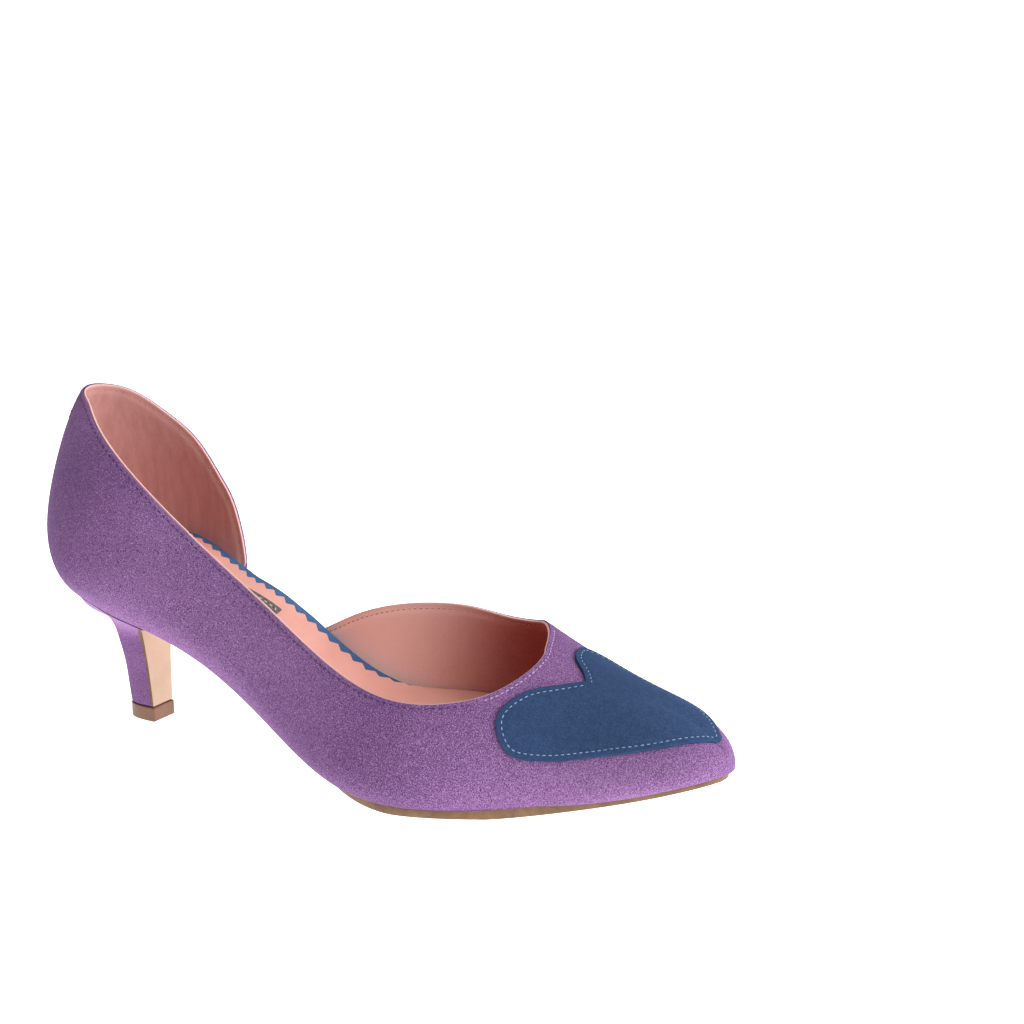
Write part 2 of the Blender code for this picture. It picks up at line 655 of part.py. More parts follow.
def make_top_lift():
    """Wear piece under the heel and the end of the sole's flap."""
    foot = HEEL[-1]
    front = foot.front * GRADE_X + GAP + FLAP_THICKNESS + 0.2
    shape = (foot.back * GRADE_X - 0.2, front, foot.half + 0.2, foot.middle)
    return loft("top_lift", [heel_ring(*shape, z) for z in (0.0, LIFT_HEIGHT)])


def heel_at(name, z, grade=1.0):
    """One column of the heel's table at a height."""
    return np.interp(z, column(HEEL, "z", GRADE_Z)[::-1], column(HEEL, name, grade)[::-1])


def flap_rings(columns):
    """Sole sections round the bend at the breast and down the front of the heel."""
    bend_x = HEEL[1].front * GRADE_X + GAP + FLAP_THICKNESS + FLAP_BEND
    floor_z = float(LAST.floor(np.array([bend_x]), np.array([0.0]))[0]) - GAP
    bend_z = floor_z - FLAP_THICKNESS - FLAP_BEND
    outer = FLAP_BEND + FLAP_THICKNESS
    places = []
    for turn in np.radians((15, 35, 55, 75)):
        aim = np.array([-math.sin(turn), math.cos(turn)])
        places.append((np.array([bend_x, bend_z]) + aim * outer, np.array([bend_x, bend_z]) + aim * FLAP_BEND))
    for z in np.linspace(bend_z, HEEL[-1].z * GRADE_Z, 7):
        back = heel_at("front", z, GRADE_X) + GAP
        places.append((np.array([back, z]), np.array([back + FLAP_THICKNESS, z])))
    rings = []
    for top, low in places:
        half = min(heel_at("half", top[1]), 9.0)
        middle = heel_at("middle", top[1])
        y = np.linspace(middle - half, middle + half, columns)
        upper_row = [(top[0], value, top[1]) for value in y]
        lower_row = [(low[0], value, low[1]) for value in y[::-1]]
        rings.append(upper_row + lower_row)
    return bend_x, rings


def make_outsole():
    """Leather sole: full at the forepart, narrow at the waist, turned down the heel breast."""
    columns = 7
    bend_x, flap = flap_rings(columns)
    u = np.linspace(0.0, LAST.round, 721)[:-1]
    feather = LAST.rows(u)[:, :2]
    lateral = (u > LAST.back) & (u < LAST.tip)
    inset = np.where(lateral, along(SOLE_INSET, "lateral", feather[:, 0]),
                     along(SOLE_INSET, "medial", feather[:, 0]))
    x, outer, inner = rails(shrink(feather, inset), bend_x, 300.0, 38)
    fullness = smoothstep((x - 90.0) / 40.0) - smoothstep((x - 190.0) / 50.0)
    thickness = FLAP_THICKNESS + (SOLE_THICKNESS - FLAP_THICKNESS) * fullness
    grid_x, grid_y = crossing(x, outer, inner, columns)
    top_z = LAST.floor(grid_x, grid_y) - GAP
    low_z = np.maximum(top_z - thickness[:, None], 0.0)
    top = np.stack([grid_x, grid_y, top_z], axis=-1)
    low = np.stack([grid_x, grid_y, low_z], axis=-1)[:, ::-1]
    plate = np.concatenate([top, low], axis=1)[::-1]
    return loft("outsole", list(plate) + flap)


def centre_on_floor(parts):
    """Moves every part together so that the shoe's box stands centred on the origin."""
    bpy.context.view_layer.update()
    depsgraph = bpy.context.evaluated_depsgraph_get()
    corners = np.array([corner for part in parts for corner in part.evaluated_get(depsgraph).bound_box])
    low = corners.min(axis=0)
    high = corners.max(axis=0)
    shift = Matrix.Translation((-(low[0] + high[0]) / 2, -(low[1] + high[1]) / 2, -low[2]))
    for part in parts:
        part.data.transform(shift)


def main():
    for obj in list(bpy.data.objects):
        bpy.data.objects.remove(obj, do_unlink=True)
    collection = bpy.data.collections.new("court_shoe")
    bpy.context.scene.collection.children.link(collection)
    makers = [make_upper, make_heart, make_back_tab, make_outsole, make_heel,
              make_top_lift, make_insole, make_sock, make_label]
    centre_on_floor([make() for make in makers])


main()
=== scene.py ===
# Looks of a half d'Orsay court shoe in suede, right foot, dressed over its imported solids.
import math

import bpy
import numpy as np
from mathutils import Matrix, Vector
from mathutils.bvhtree import BVHTree
from mathutils.kdtree import KDTree


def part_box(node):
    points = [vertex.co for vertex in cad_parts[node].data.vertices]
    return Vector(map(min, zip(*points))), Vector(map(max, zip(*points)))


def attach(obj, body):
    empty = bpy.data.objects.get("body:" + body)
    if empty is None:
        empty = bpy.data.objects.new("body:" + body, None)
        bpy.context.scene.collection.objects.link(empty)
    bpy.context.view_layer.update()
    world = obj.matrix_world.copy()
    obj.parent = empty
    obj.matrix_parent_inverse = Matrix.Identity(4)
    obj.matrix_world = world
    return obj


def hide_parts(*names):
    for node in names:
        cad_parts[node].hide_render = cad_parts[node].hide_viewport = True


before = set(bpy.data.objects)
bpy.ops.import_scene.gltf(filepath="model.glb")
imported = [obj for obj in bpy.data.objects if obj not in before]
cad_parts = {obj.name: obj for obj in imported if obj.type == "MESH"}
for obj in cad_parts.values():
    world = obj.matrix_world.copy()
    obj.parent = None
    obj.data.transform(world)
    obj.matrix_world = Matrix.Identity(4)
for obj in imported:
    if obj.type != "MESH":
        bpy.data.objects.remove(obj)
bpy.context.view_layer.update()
print("frame loaded with", len(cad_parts), "solids")


# Shader boards

def ink(red, green, blue):  # a colour as it is seen, 0 to 255
    shares = [c / 255 for c in (red, green, blue)]
    return (*[s / 12.92 if s < 0.04 else ((s + 0.055) / 1.055) ** 2.4 for s in shares], 1.0)


class Wire:  # an output socket; sums on it add Math nodes
    def __init__(self, board, socket):
        self.board = board
        self.socket = socket

    def work(self, operation, first, second):
        return self.board.add("ShaderNodeMath", {"operation": operation}, {0: first, 1: second})

    def __add__(self, other):
        return self.work("ADD", self, other)

    def __radd__(self, other):
        return self.work("ADD", other, self)

    def __sub__(self, other):
        return self.work("SUBTRACT", self, other)

    def __rsub__(self, other):
        return self.work("SUBTRACT", other, self)

    def __mul__(self, other):
        return self.work("MULTIPLY", self, other)

    def __rmul__(self, other):
        return self.work("MULTIPLY", other, self)


class Board:  # one material and its nodes
    def __init__(self, name):
        self.material = bpy.data.materials.new(name)
        self.material.use_nodes = True
        self.tree = self.material.node_tree
        self.shader = self.tree.nodes["Principled BSDF"]
        self.place = self.add("ShaderNodeTexCoord", {}, {}, "Object")

    def add(self, kind, settings, sockets, output=0):
        node = self.tree.nodes.new(kind)
        for key, value in settings.items():
            if key == "stops":
                self.fillRamp(node.color_ramp, value)
            else:
                setattr(node, key, value)
        for key, value in sockets.items():
            self.plug(node.inputs[key], value)
        return Wire(self, node.outputs[output])

    def plug(self, socket, value):
        if isinstance(value, Wire):
            self.tree.links.new(value.socket, socket)
        else:
            socket.default_value = value

    def fillRamp(self, ramp, stops):
        while len(ramp.elements) < len(stops):
            ramp.elements.new(0.5)
        for element, (position, colour) in zip(ramp.elements, stops):
            element.position = position
            element.color = colour

    def set(self, **sockets):  # keys are socket names with the spaces left out
        names = {socket.name.replace(" ", ""): socket for socket in self.shader.inputs}
        for key, value in sockets.items():
            self.plug(names[key], value)

    def noise(self, scale, detail=2.0, roughness=0.5, stretch=(1.0, 1.0, 1.0)):
        place = self.add("ShaderNodeMapping", {}, {"Vector": self.place, "Scale": stretch})
        return self.add("ShaderNodeTexNoise", {},
                        {"Vector": place, "Scale": scale, "Detail": detail, "Roughness": roughness})

    def ramp(self, factor, stops):
        return self.add("ShaderNodeValToRGB", {"stops": stops}, {0: factor})

    def mix(self, factor, first, second):
        return self.add("ShaderNodeMix", {"data_type": "RGBA"}, {0: factor, 6: first, 7: second}, 2)

    def step(self, value, low, high):  # smooth change from 0 at low to 1 at high
        return self.add("ShaderNodeMapRange", {"interpolation_type": "SMOOTHSTEP"},
                        {0: value, 1: low, 2: high})

    def axes(self):
        split = self.tree.nodes.new("ShaderNodeSeparateXYZ")
        self.plug(split.inputs[0], self.place)
        return [Wire(self, output) for output in split.outputs]

    def bump(self, height, strength, distance):
        normal = self.add("ShaderNodeBump", {},
                          {"Strength": strength, "Distance": distance, "Height": height})
        self.set(Normal=normal)


# Finishes

def suedeFinish(name, look):
    board = Board(name)
    fibre = board.noise(look["fibre"], 0.0)
    nap = board.noise(look["nap"], 3.0, 0.6)
    brushed = board.noise(look["brushed"], 3.0, 0.55, (0.6, 1.0, 1.3))
    lay = board.add("ShaderNodeAttribute", {"attribute_name": "lay"}, {}, "Fac")  # painted light and shade: a shift along the colour ramp
    tone = (fibre - 0.5) * look["speckle"] + (nap - 0.5) * look["mottle"]
    tone = tone + (brushed - 0.5) * look["sweep"] + lay + 0.5
    stops = [(0.1, look["deep"]), (0.5, look["body"]), (0.9, look["bloom"])]
    board.set(BaseColor=board.ramp(tone, stops), Roughness=0.95, SpecularIORLevel=0.15)
    board.set(SheenWeight=look["sheen"], SheenRoughness=0.45, SheenTint=look["bloom"])
    board.bump(fibre * 0.7 + nap * 0.25, 0.5, 0.0003)
    return board.material


def leatherFinish(name, look):
    board = Board(name)
    pores = board.noise(look["pores"], 3.0, 0.6)
    cloud = board.noise(look["cloud"], 3.0, 0.55)
    tone = (cloud - 0.5) * 1.3 + (pores - 0.5) * 0.5 + 0.5
    colour = board.ramp(tone, [(0.15, look["dark"]), (0.85, look["light"])])
    board.set(BaseColor=colour, Roughness=(pores - 0.5) * 0.3 + look["roughness"],
              SpecularIORLevel=look["gloss"])
    board.bump(pores, look["grain"], 0.0002)
    return board.material


purpleLook = {
    "deep": ink(81, 53, 94), "body": ink(124, 87, 134), "bloom": ink(173, 132, 185),
    "fibre": 3700.0, "nap": 700.0, "brushed": 40.0,
    "speckle": 1.5, "mottle": 0.14, "sweep": 0.3, "sheen": 0.3,
}
blueLook = {
    "deep": ink(33, 52, 84), "body": ink(50, 71, 107), "bloom": ink(74, 100, 139),
    "fibre": 3000.0, "nap": 560.0, "brushed": 40.0,
    "speckle": 0.5, "mottle": 0.3, "sweep": 0.35, "sheen": 0.2,
}
insoleBlue = {**blueLook, "deep": ink(52, 78, 118), "body": ink(72, 102, 146), "bloom": ink(98, 130, 174)}
sockLook = {
    "dark": ink(224, 160, 146), "light": ink(238, 178, 164), "pores": 1500.0, "cloud": 70.0,
    "roughness": 0.55, "gloss": 0.35, "grain": 0.25,
}
soleLook = {
    "dark": ink(197, 164, 140), "light": ink(217, 188, 164), "pores": 900.0, "cloud": 60.0,
    "roughness": 0.45, "gloss": 0.4, "grain": 0.15,
}
edgeLook = {
    "dark": ink(104, 76, 50), "light": ink(142, 108, 76), "pores": 700.0, "cloud": 160.0,
    "roughness": 0.5, "gloss": 0.4, "grain": 0.3,
}
liftLook = {
    "dark": ink(113, 74, 51), "light": ink(142, 98, 68), "pores": 900.0, "cloud": 120.0,
    "roughness": 0.42, "gloss": 0.5, "grain": 0.15,
}


def liningFinish():  # smooth pink leather, napped round the heel, with painted shade: darker and redder towards the deep throat
    look = {
        # arch is the pale pink; throat is painted shade deep in the vamp, reached over the stations in
        # fade
        "arch": ink(250, 212, 202), "throat": ink(174, 84, 75), "fade": (103.0, 162.0),
        "grip": ink(186, 134, 128), "gripPale": ink(206, 158, 152), "gripEnd": heelGrip["end"],
        "rim": ink(236, 190, 184),
    }
    board = Board("liningLeather")
    pores = board.noise(1600.0, 3.0, 0.6)
    streak = board.noise(420.0, 3.0, 0.6, (1.0, 1.0, 0.12))
    x = board.axes()[0]
    end, near, far = (toFrame((station, 0.0, 0.0))[0] for station in (look["gripEnd"], *look["fade"]))
    grip = 1 - board.step(x, end - 0.0002, end + 0.0002)
    rim = board.add("ShaderNodeAttribute", {"attribute_name": "rim"}, {}, "Fac")
    # painted shade deepening from the arch colour to the throat colour
    colour = board.mix(board.step(x, near, far) + (pores - 0.5) * 0.2, look["arch"], look["throat"])
    napped = board.mix(streak * 1.6 - 0.3 + (pores - 0.5) * 0.4, look["grip"], look["gripPale"])
    colour = board.mix(grip, colour, napped)
    board.set(BaseColor=board.mix(rim, colour, look["rim"]), Roughness=grip * 0.3 + 0.55,
              SpecularIORLevel=0.3)
    board.bump(pores + streak * grip, 0.3, 0.0002)
    return board.material


def clothFinish():  # grey woven label
    look = {"warp": ink(84, 80, 80), "weft": ink(124, 118, 116), "threads": 2600.0}
    board = Board("labelCloth")
    x, y = board.axes()[:2]
    warp = board.add("ShaderNodeMath", {"operation": "SINE"}, {0: x * look["threads"]})
    weft = board.add("ShaderNodeMath", {"operation": "SINE"}, {0: y * look["threads"]})
    weave = warp * weft * 0.5 + 0.5
    slub = board.noise(900.0, 2.0)
    board.set(BaseColor=board.mix(weave * 0.6 + (slub - 0.3) * 0.6, look["warp"], look["weft"]))
    board.set(Roughness=0.7, SpecularIORLevel=0.3)
    board.bump(weave, 0.5, 0.0002)
    return board.material


def threadFinish(name, dark, light):
    board = Board(name)
    twist = board.noise(2500.0, 2.0, 0.6)
    board.set(BaseColor=board.ramp(twist, [(0.3, dark), (0.7, light)]), Roughness=0.6,
              SpecularIORLevel=0.3)
    board.bump(twist, 0.4, 0.0001)
    return board.material


# The last in millimetres: x from the back of the heel, y to the inner side, z up

lastShape = {
    # name, x, y, lift, bulge, height of the bulge, lean, arch
    "ribs": [
        ("medial waist", 106.0, 18.0, 2.5, 2.0, 10.0, 104.0, 2.4),
        ("medial seat", 50.0, 21.5, 3.0, 5.0, 16.0, 55.0, 2.4),
        ("heel inner", 21.0, 18.5, 0.0, 10.0, 19.8, 39.0, 2.15),
        ("heel back", 8.4, 1.5, 0.0, 11.5, 22.5, 33.0, 3.1),
        ("heel outer", 18.4, -16.5, 0.0, 7.9, 20.0, 33.5, 2.5),
        ("lateral seat", 49.5, -26.0, 0.0, 5.0, 19.0, 55.0, 2.4),
        ("lateral waist", 98.0, -31.0, 0.0, 3.0, 12.0, 100.0, 2.4),
        ("lateral joint", 149.5, -43.0, 0.0, 3.0, 10.0, 150.0, 2.2),
        ("lateral toe", 197.0, -23.0, 0.0, 1.7, 6.6, 198.0, 2.0),
        ("lateral tip", 236.0, -9.2, 0.0, 1.7, 4.5, 230.0, 2.0),
        ("tip", 242.4, 0.0, 0.0, 0.2, 5.5, 239.5, 2.0),
        ("medial tip", 238.0, 10.0, 0.0, 0.8, 7.0, 232.0, 2.0),
        ("medial toe", 215.0, 25.5, 0.0, 2.8, 9.5, 206.0, 2.0),
        ("medial joint", 173.5, 36.0, 1.2, 3.5, 11.5, 170.0, 2.2),
        ("medial arch", 137.0, 29.0, 3.4, 2.5, 10.0, 138.0, 2.4),
    ],
    # name, x, height of the feather line
    "feather": [
        ("back", 11.0, 39.0), ("breast", 45.0, 37.8), ("shank", 75.0, 29.0),
        ("waist", 105.0, 14.0), ("rise", 132.0, 5.1), ("tread", 155.0, 2.6),
        ("ball", 180.0, 2.9), ("toe", 215.0, 8.9), ("tip", 246.0, 16.2),
    ],
    # name, x, y, z of the ridge that the ribs lean to
    "ridge": [
        ("back cone", 30.0, 0.0, 105.0), ("heel cone", 40.0, 0.0, 131.5),
        ("top cone", 60.0, 0.0, 136.5), ("mid cone", 90.0, -1.0, 122.0),
        ("front cone", 120.0, -2.0, 92.0), ("instep", 150.0, -1.0, 62.0),
        ("throat", 178.0, 2.0, 43.6), ("vamp", 200.0, 1.5, 35.4),
        ("toe box", 225.0, 2.3, 28.7), ("toe", 242.0, 1.7, 20.0),
    ],
    # name, x, height of the cut edge
    "quarterEdge": [
        ("back", 8.5, 104.0), ("corner", 13.0, 103.5), ("tab", 22.0, 101.8), ("heel", 31.5, 97.2),
        ("quarter", 54.0, 82.3), ("waist", 88.0, 60.2), ("low quarter", 127.0, 41.8),
        ("dip", 157.0, 33.2), ("rise", 168.0, 33.5), ("wing", 175.4, 36.0),
    ],
    "counterEdge": [
        ("back", 8.5, 104.0), ("tab", 14.9, 101.4), ("inner heel", 26.5, 92.9),
        ("front", 38.8, 81.3), ("bend", 45.0, 71.8), ("slope", 49.4, 63.2), ("foot", 53.4, 46.0),
    ],
    "vampEdge": [
        ("foot", 87.0, 31.2), ("arch", 99.0, 37.6), ("rise", 115.0, 42.7),
        ("crest", 136.0, 43.7), ("wing", 164.0, 43.6), ("turn", 168.5, 44.8),
    ],
    # name, x, height of the insole's top over the feather line
    "footbed": [
        ("heel", 8.0, 14.0), ("seat", 31.0, 12.6), ("breast", 51.0, 6.9), ("shank", 72.0, 7.2),
        ("waist", 100.0, 6.2), ("joint", 120.0, 5.2), ("rise", 134.0, 6.8), ("ball", 158.0, 6.8),
        ("toe", 240.0, 4.2),
    ],
    "bulgeFade": (120.0, 150.0),  # stations ahead of which the bulge stops short of the ridge
    "bulgeTurn": 0.3,  # angle below the ridge over which it does
    "throatLean": 181.6,
    "throatBow": 0.85,  # how round the throat's curve is
    "throatEase": 30.0,  # stations over which the seam of the toe comes back to the ridge
    "throatTurn": math.radians(16.0),  # how far short of the ridge the throat's foremost point lies
    "throatBlend": (120.0, 150.0),  # stations where the edges go over to the throat's curve
}
roundPoints = 1441  # points round the feather line
footAngle = 0.0005  # angle up a rib just off the feather line
normalStep = 0.05  # millimetres and angle to each side from which a normal is taken
normalTurn = 0.002
heelGrip = {"end": 70.0, "step": 0.25}  # napped part of the lining round the heel

liftMiddle = -2.4  # the top lift's place on the last, from which the frame is found
liftBack = 26.0
liftLow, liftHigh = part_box("top_lift")
lastOrigin = np.array([liftLow.x - liftBack / 1000, (liftLow.y + liftHigh.y) / 2 - liftMiddle / 1000, 0.0])


def toFrame(points):  # from the last's millimetres to the frame's metres
    return np.asarray(points) / 1000 + lastOrigin


def smooth(t):
    t = np.clip(t, 0.0, 1.0)
    return t * t * (3 - 2 * t)


def within(value, low, high):  # smooth change from 0 at low to 1 at high
    return smooth((value - low) / (high - low))


def unit(rows):  # the same directions, each of length 1
    return rows / np.linalg.norm(rows, axis=-1)[..., None]


def runAlong(path):  # distance run at each point of a path
    return np.append(0.0, np.cumsum(np.linalg.norm(np.diff(path, axis=0), axis=1)))


def spline(knots, values, at, closed=False):  # cubic through the knots
    knots, values, at = (np.asarray(part, float) for part in (knots, values, at))
    count = len(knots)
    step = np.diff(knots)
    slope = np.diff(values, axis=0) / step[:, None]
    matrix = np.zeros((count, count))
    right = np.zeros_like(values)
    for i in range(1, count - 1):
        matrix[i, i - 1:i + 2] = 1 / step[i - 1], 2 / step[i - 1] + 2 / step[i], 1 / step[i]
        right[i] = 3 * (slope[i - 1] / step[i - 1] + slope[i] / step[i])
    if closed:
        matrix[0, [0, 1, -2]] = 2 / step[-1] + 2 / step[0], 1 / step[0], 1 / step[-1]
        right[0] = 3 * (slope[-1] / step[-1] + slope[0] / step[0])
        matrix[-1, [0, -1]] = -1, 1
    else:
        matrix[0, :2] = 2, 1
        right[0] = 3 * slope[0]
        matrix[-1, -2:] = 1, 2
        right[-1] = 3 * slope[-1]
    tangent = np.linalg.solve(matrix, right)
    i = np.clip(np.searchsorted(knots, at, side="right") - 1, 0, count - 2)
    t = ((at - knots[i]) / step[i])[..., None]
    h = step[i][..., None]
    start = (1 + 2 * t) * (1 - t) ** 2 * values[i] + t * (1 - t) ** 2 * h * tangent[i]
    return start + t ** 2 * (3 - 2 * t) * values[i + 1] + t ** 2 * (t - 1) * h * tangent[i + 1]


def alongTable(table, at, columnIndex=2):  # a table's column at stations x, level past its ends
    x = np.array([row[1] for row in table])
    values = np.array([[row[columnIndex]] for row in table])
    return spline(x, values, np.clip(at, x[0], x[-1]))[..., 0]


class Last:  # u runs round the feather line, phi climbs each rib to the ridge
    def __init__(self, shape):
        self.shape = shape
        ribs = shape["ribs"] + shape["ribs"][:1]
        self.table = np.array([row[1:] for row in ribs])
        self.knots = runAlong(self.table[:, :2])
        self.round = self.knots[-1]
        fine = np.linspace(0.0, self.round, roundPoints)
        x = self.rows(fine)[:, 0]
        self.back = fine[np.argmin(x)]
        self.tip = fine[np.argmax(x)]
        self.outerSide = np.linspace(self.back, self.tip, roundPoints // 2 + 1)
        self.innerSide = np.linspace(self.round + self.back, self.tip, roundPoints // 2 + 1)

    def rows(self, u):
        return spline(self.knots, self.table, np.mod(u, self.round), closed=True)

    def find(self, side, columnIndex, value):  # place u on a side where x (0) or lean (5) is met
        fine = self.outerSide if side < 0 else self.innerSide
        return np.interp(value, np.maximum.accumulate(self.rows(fine)[:, columnIndex]), fine)

    def floor(self, x, y):
        rail = self.rows(self.innerSide)
        edge = np.interp(x, rail[:, 0], rail[:, 1])
        lift = np.interp(x, rail[:, 0], rail[:, 2])
        return alongTable(self.shape["feather"], x) + lift * smooth(y / np.maximum(edge, 1.0))

    def foot(self, u):
        rows = self.rows(u)
        return rows, alongTable(self.shape["feather"], rows[..., 0]) + rows[..., 2]

    def ridge(self, x):
        table = self.shape["ridge"]
        return spline([row[1] for row in table], [row[2:] for row in table], x)

    def angleAt(self, u, z):
        rows, base = self.foot(u)
        rise = self.ridge(rows[..., 5])[..., 1] - base
        return np.arcsin(np.clip((z - base) / rise, 0.0, 1.0) ** (rows[..., 6] / 2))

    def wall(self, u, phi):  # an angle past the ridge goes on down the other side of the vamp
        past = phi > math.pi / 2
        if np.any(past):
            lean = self.rows(u)[..., 5]
            outer = (u > self.back) & (u < self.tip)
            u = np.where(past, np.where(outer, self.find(1, 5, lean), self.find(-1, 5, lean)), u)
            phi = np.where(past, math.pi - phi, phi)
        rows, base = self.foot(u)
        x, y, _, bulge, bulgeHeight, lean, arch = np.moveaxis(rows, -1, 0)
        top = self.ridge(lean)
        across = np.stack([lean - x, top[..., 0] - y], axis=-1)
        reach = np.linalg.norm(across, axis=-1)
        across = unit(across)
        up = (top[..., 1] - base) * np.sin(phi) ** (2 / arch)
        swell = up / bulgeHeight * np.exp(1 - up / bulgeHeight)
        nearRidge = 1 - smooth((math.pi / 2 - phi) / self.shape["bulgeTurn"])
        swell *= 1 - within(x, *self.shape["bulgeFade"]) * nearRidge
        inward = reach * (1 - np.maximum(np.cos(phi), 0.0) ** (2 / arch)) - bulge * swell
        return np.stack([x + across[..., 0] * inward, y + across[..., 1] * inward, base + up], axis=-1)

    def normals(self, u, phi):
        low = np.maximum(phi - normalTurn, footAngle)
        ahead = self.wall(u + normalStep, phi) - self.wall(u - normalStep, phi)
        return unit(np.cross(ahead, self.wall(u, low + 2 * normalTurn) - self.wall(u, low)))

    def skin(self, u, phi, out):
        return self.wall(u, phi) + self.normals(u, phi) * np.asarray(out)[..., None]

    def over(self, x, y):  # the place on the vamp straight over a point of the plan
        outer = y < self.ridge(x)[..., 0]
        lean = np.array(x, float)
        for _ in range(24):  # rounds until the lean settles
            u = np.where(outer, self.find(-1, 5, lean), self.find(1, 5, lean))
            footX, footY = self.rows(u)[..., :2].T
            lean += x - footX - (lean - footX) * (y - footY) / (self.ridge(lean)[..., 0] - footY)
        steps = np.linspace(0.15, math.pi / 2, 160)
        climb = self.wall(np.repeat(u[:, None], len(steps), axis=1), np.tile(steps, (len(u), 1)))
        sign = np.where(outer, 1.0, -1.0)
        return u, np.array([np.interp(s * level, s * line, steps)
                            for s, level, line in zip(sign, y, climb[..., 1])])


last = Last(lastShape)
gapStart = last.find(1, 0, lastShape["counterEdge"][-1][1]) - last.round
gapEnd = last.find(1, 0, lastShape["vampEdge"][0][1])
throatOuter = last.find(-1, 5, lastShape["throatLean"])
throatInner = last.find(1, 5, lastShape["throatLean"])


def edgeAngle(table, side, u, throat=None):  # how far up its rib a cut edge lies
    station = last.rows(u)[:, 0]
    phi = last.angleAt(u, alongTable(table, station))
    if throat is None:
        return phi
    end = last.rows(throat)[0]
    x = np.array([row[1] for row in table])
    turns = last.angleAt(last.find(side, 0, x), np.array([row[2] for row in table]))
    knots = np.append(np.sqrt(end - x), 0.0)[::-1]
    bow = lastShape["throatBow"]
    spread = np.append(np.cos(turns) ** bow, -side * math.sin(lastShape["throatTurn"]) ** bow)[::-1]
    share = spline(knots, spread[:, None], np.sqrt(np.maximum(end - station, 0.0)))[:, 0]
    rounded = np.arccos(np.clip(np.abs(share), 0.0, 1.0) ** (1 / bow))
    rounded = np.where(share < 0.0, math.pi - rounded, rounded)
    return phi + (rounded - phi) * within(station, *lastShape["throatBlend"])


def topAngle(u):  # the topline, or where the two sides meet ahead of the throat
    ahead = smooth((last.rows(u)[:, 5] - lastShape["throatLean"]) / lastShape["throatEase"])
    phi = math.pi / 2 + np.where(u > last.tip, 1.0, -1.0) * lastShape["throatTurn"] * (1 - ahead)
    slack = 1e-6
    counter = u <= last.back + slack
    quarter = (u > last.back + slack) & (u <= throatOuter + slack)
    vamp = u >= throatInner - slack
    phi[counter] = edgeAngle(lastShape["counterEdge"], 1, u[counter])
    phi[quarter] = edgeAngle(lastShape["quarterEdge"], -1, u[quarter], throatOuter)
    phi[vamp] = edgeAngle(lastShape["vampEdge"], 1, u[vamp], throatInner)
    return phi


# Modelling helpers

weldGap = 0.00001  # metres; points of a sheet closer than this are one
fineStep = 0.0005  # metres between the points of a path that is followed closely
easeShare = 0.5  # how much of the way to its neighbours a point is eased in one round
softAngle = 60.0  # degrees; sharper bends stay creased
crispAngle = 50.0  # the same for heel, lift and sole


def pick(*pieces):  # only these are selected, and the first is active
    bpy.ops.object.select_all(action="DESELECT")
    for piece in pieces:
        piece.select_set(True)
    bpy.context.view_layer.objects.active = pieces[0]


def editAll(*steps):  # operators on the whole of the active mesh
    bpy.ops.object.mode_set(mode="EDIT")
    bpy.ops.mesh.select_all(action="SELECT")
    for step in steps:
        step()
    bpy.ops.object.mode_set(mode="OBJECT")


def mergeClose():
    bpy.ops.mesh.remove_doubles(threshold=weldGap)


def facesOut():
    bpy.ops.mesh.normals_make_consistent(inside=False)


def placesOf(piece):  # the mesh's points in the last's millimetres
    return (np.array([v.co[:] for v in piece.data.vertices]) - lastOrigin) * 1000


def markPoints(piece, name, values):
    piece.data.attributes.new(name, "FLOAT", "POINT").data.foreach_set("value", values)


def addSheet(name, points):  # a grid primitive bent to rows of points, closed where they meet
    across, up = points.shape[:2]
    bpy.ops.object.select_all(action="DESELECT")
    bpy.ops.mesh.primitive_grid_add(x_subdivisions=across - 1, y_subdivisions=up - 1, size=1.0)
    piece = bpy.context.object
    piece.name = name
    piece.data.vertices.foreach_set("co", toFrame(points).transpose(1, 0, 2).ravel())
    editAll(mergeClose)
    return piece


def addLoft(name, rings):  # a closed tube of rings bridged from a grid, capped at both ends
    rings = np.asarray(rings)
    piece = addSheet(name, np.concatenate([rings, rings[:, :1]], axis=1).transpose(1, 0, 2))
    bpy.ops.object.mode_set(mode="EDIT")
    bpy.ops.mesh.select_all(action="DESELECT")
    bpy.ops.mesh.select_non_manifold()
    bpy.ops.mesh.fill_holes(sides=0)
    bpy.ops.object.mode_set(mode="OBJECT")
    editAll(facesOut)
    return piece


def applyModifier(piece, kind, **settings):
    modifier = piece.modifiers.new(kind.lower(), kind)
    for key, value in settings.items():
        setattr(modifier, key, value)
    pick(piece)
    bpy.ops.object.modifier_apply(modifier=modifier.name)


def thicken(piece, thickness, share=None):  # a wall inwards from the sheet, thinner by a share
    settings = {}
    if share is not None:
        group = piece.vertex_groups.new(name="share")
        for i, part in enumerate(share):
            group.add([i], float(part), "REPLACE")
        settings["vertex_group"] = group.name
    applyModifier(piece, "SOLIDIFY", thickness=thickness / 1000, offset=-1.0,
                  use_even_offset=False, use_quality_normals=True, **settings)
    piece.vertex_groups.clear()


def roundEdges(piece, width, segments, angle):  # the "edge" rows of the dicts, in millimetres and degrees
    applyModifier(piece, "BEVEL", width=width / 1000, segments=segments, limit_method="ANGLE",
                  angle_limit=math.radians(angle), harden_normals=False)


def giveBody(piece, look):
    thicken(piece, look["thickness"])
    roundEdges(piece, *look["edge"])


def finishPiece(piece, material, node=None, angle=softAngle):
    piece.data.materials.clear()
    piece.data.materials.append(material)
    pick(piece)
    bpy.ops.object.shade_smooth_by_angle(angle=math.radians(angle))
    if node:
        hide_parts(node)
    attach(piece, "root")
    print("made", piece.name, len(piece.data.polygons), "faces")


def surfaceOf(piece):
    mesh = piece.data
    return BVHTree.FromPolygons([v.co[:] for v in mesh.vertices], [p.vertices[:] for p in mesh.polygons])


def settle(surface, points):  # nearest points of a surface, with the way out of it
    hits = [surface.find_nearest(Vector(point)) for point in points]
    return np.array([hit[0] for hit in hits]), np.array([hit[1] for hit in hits])


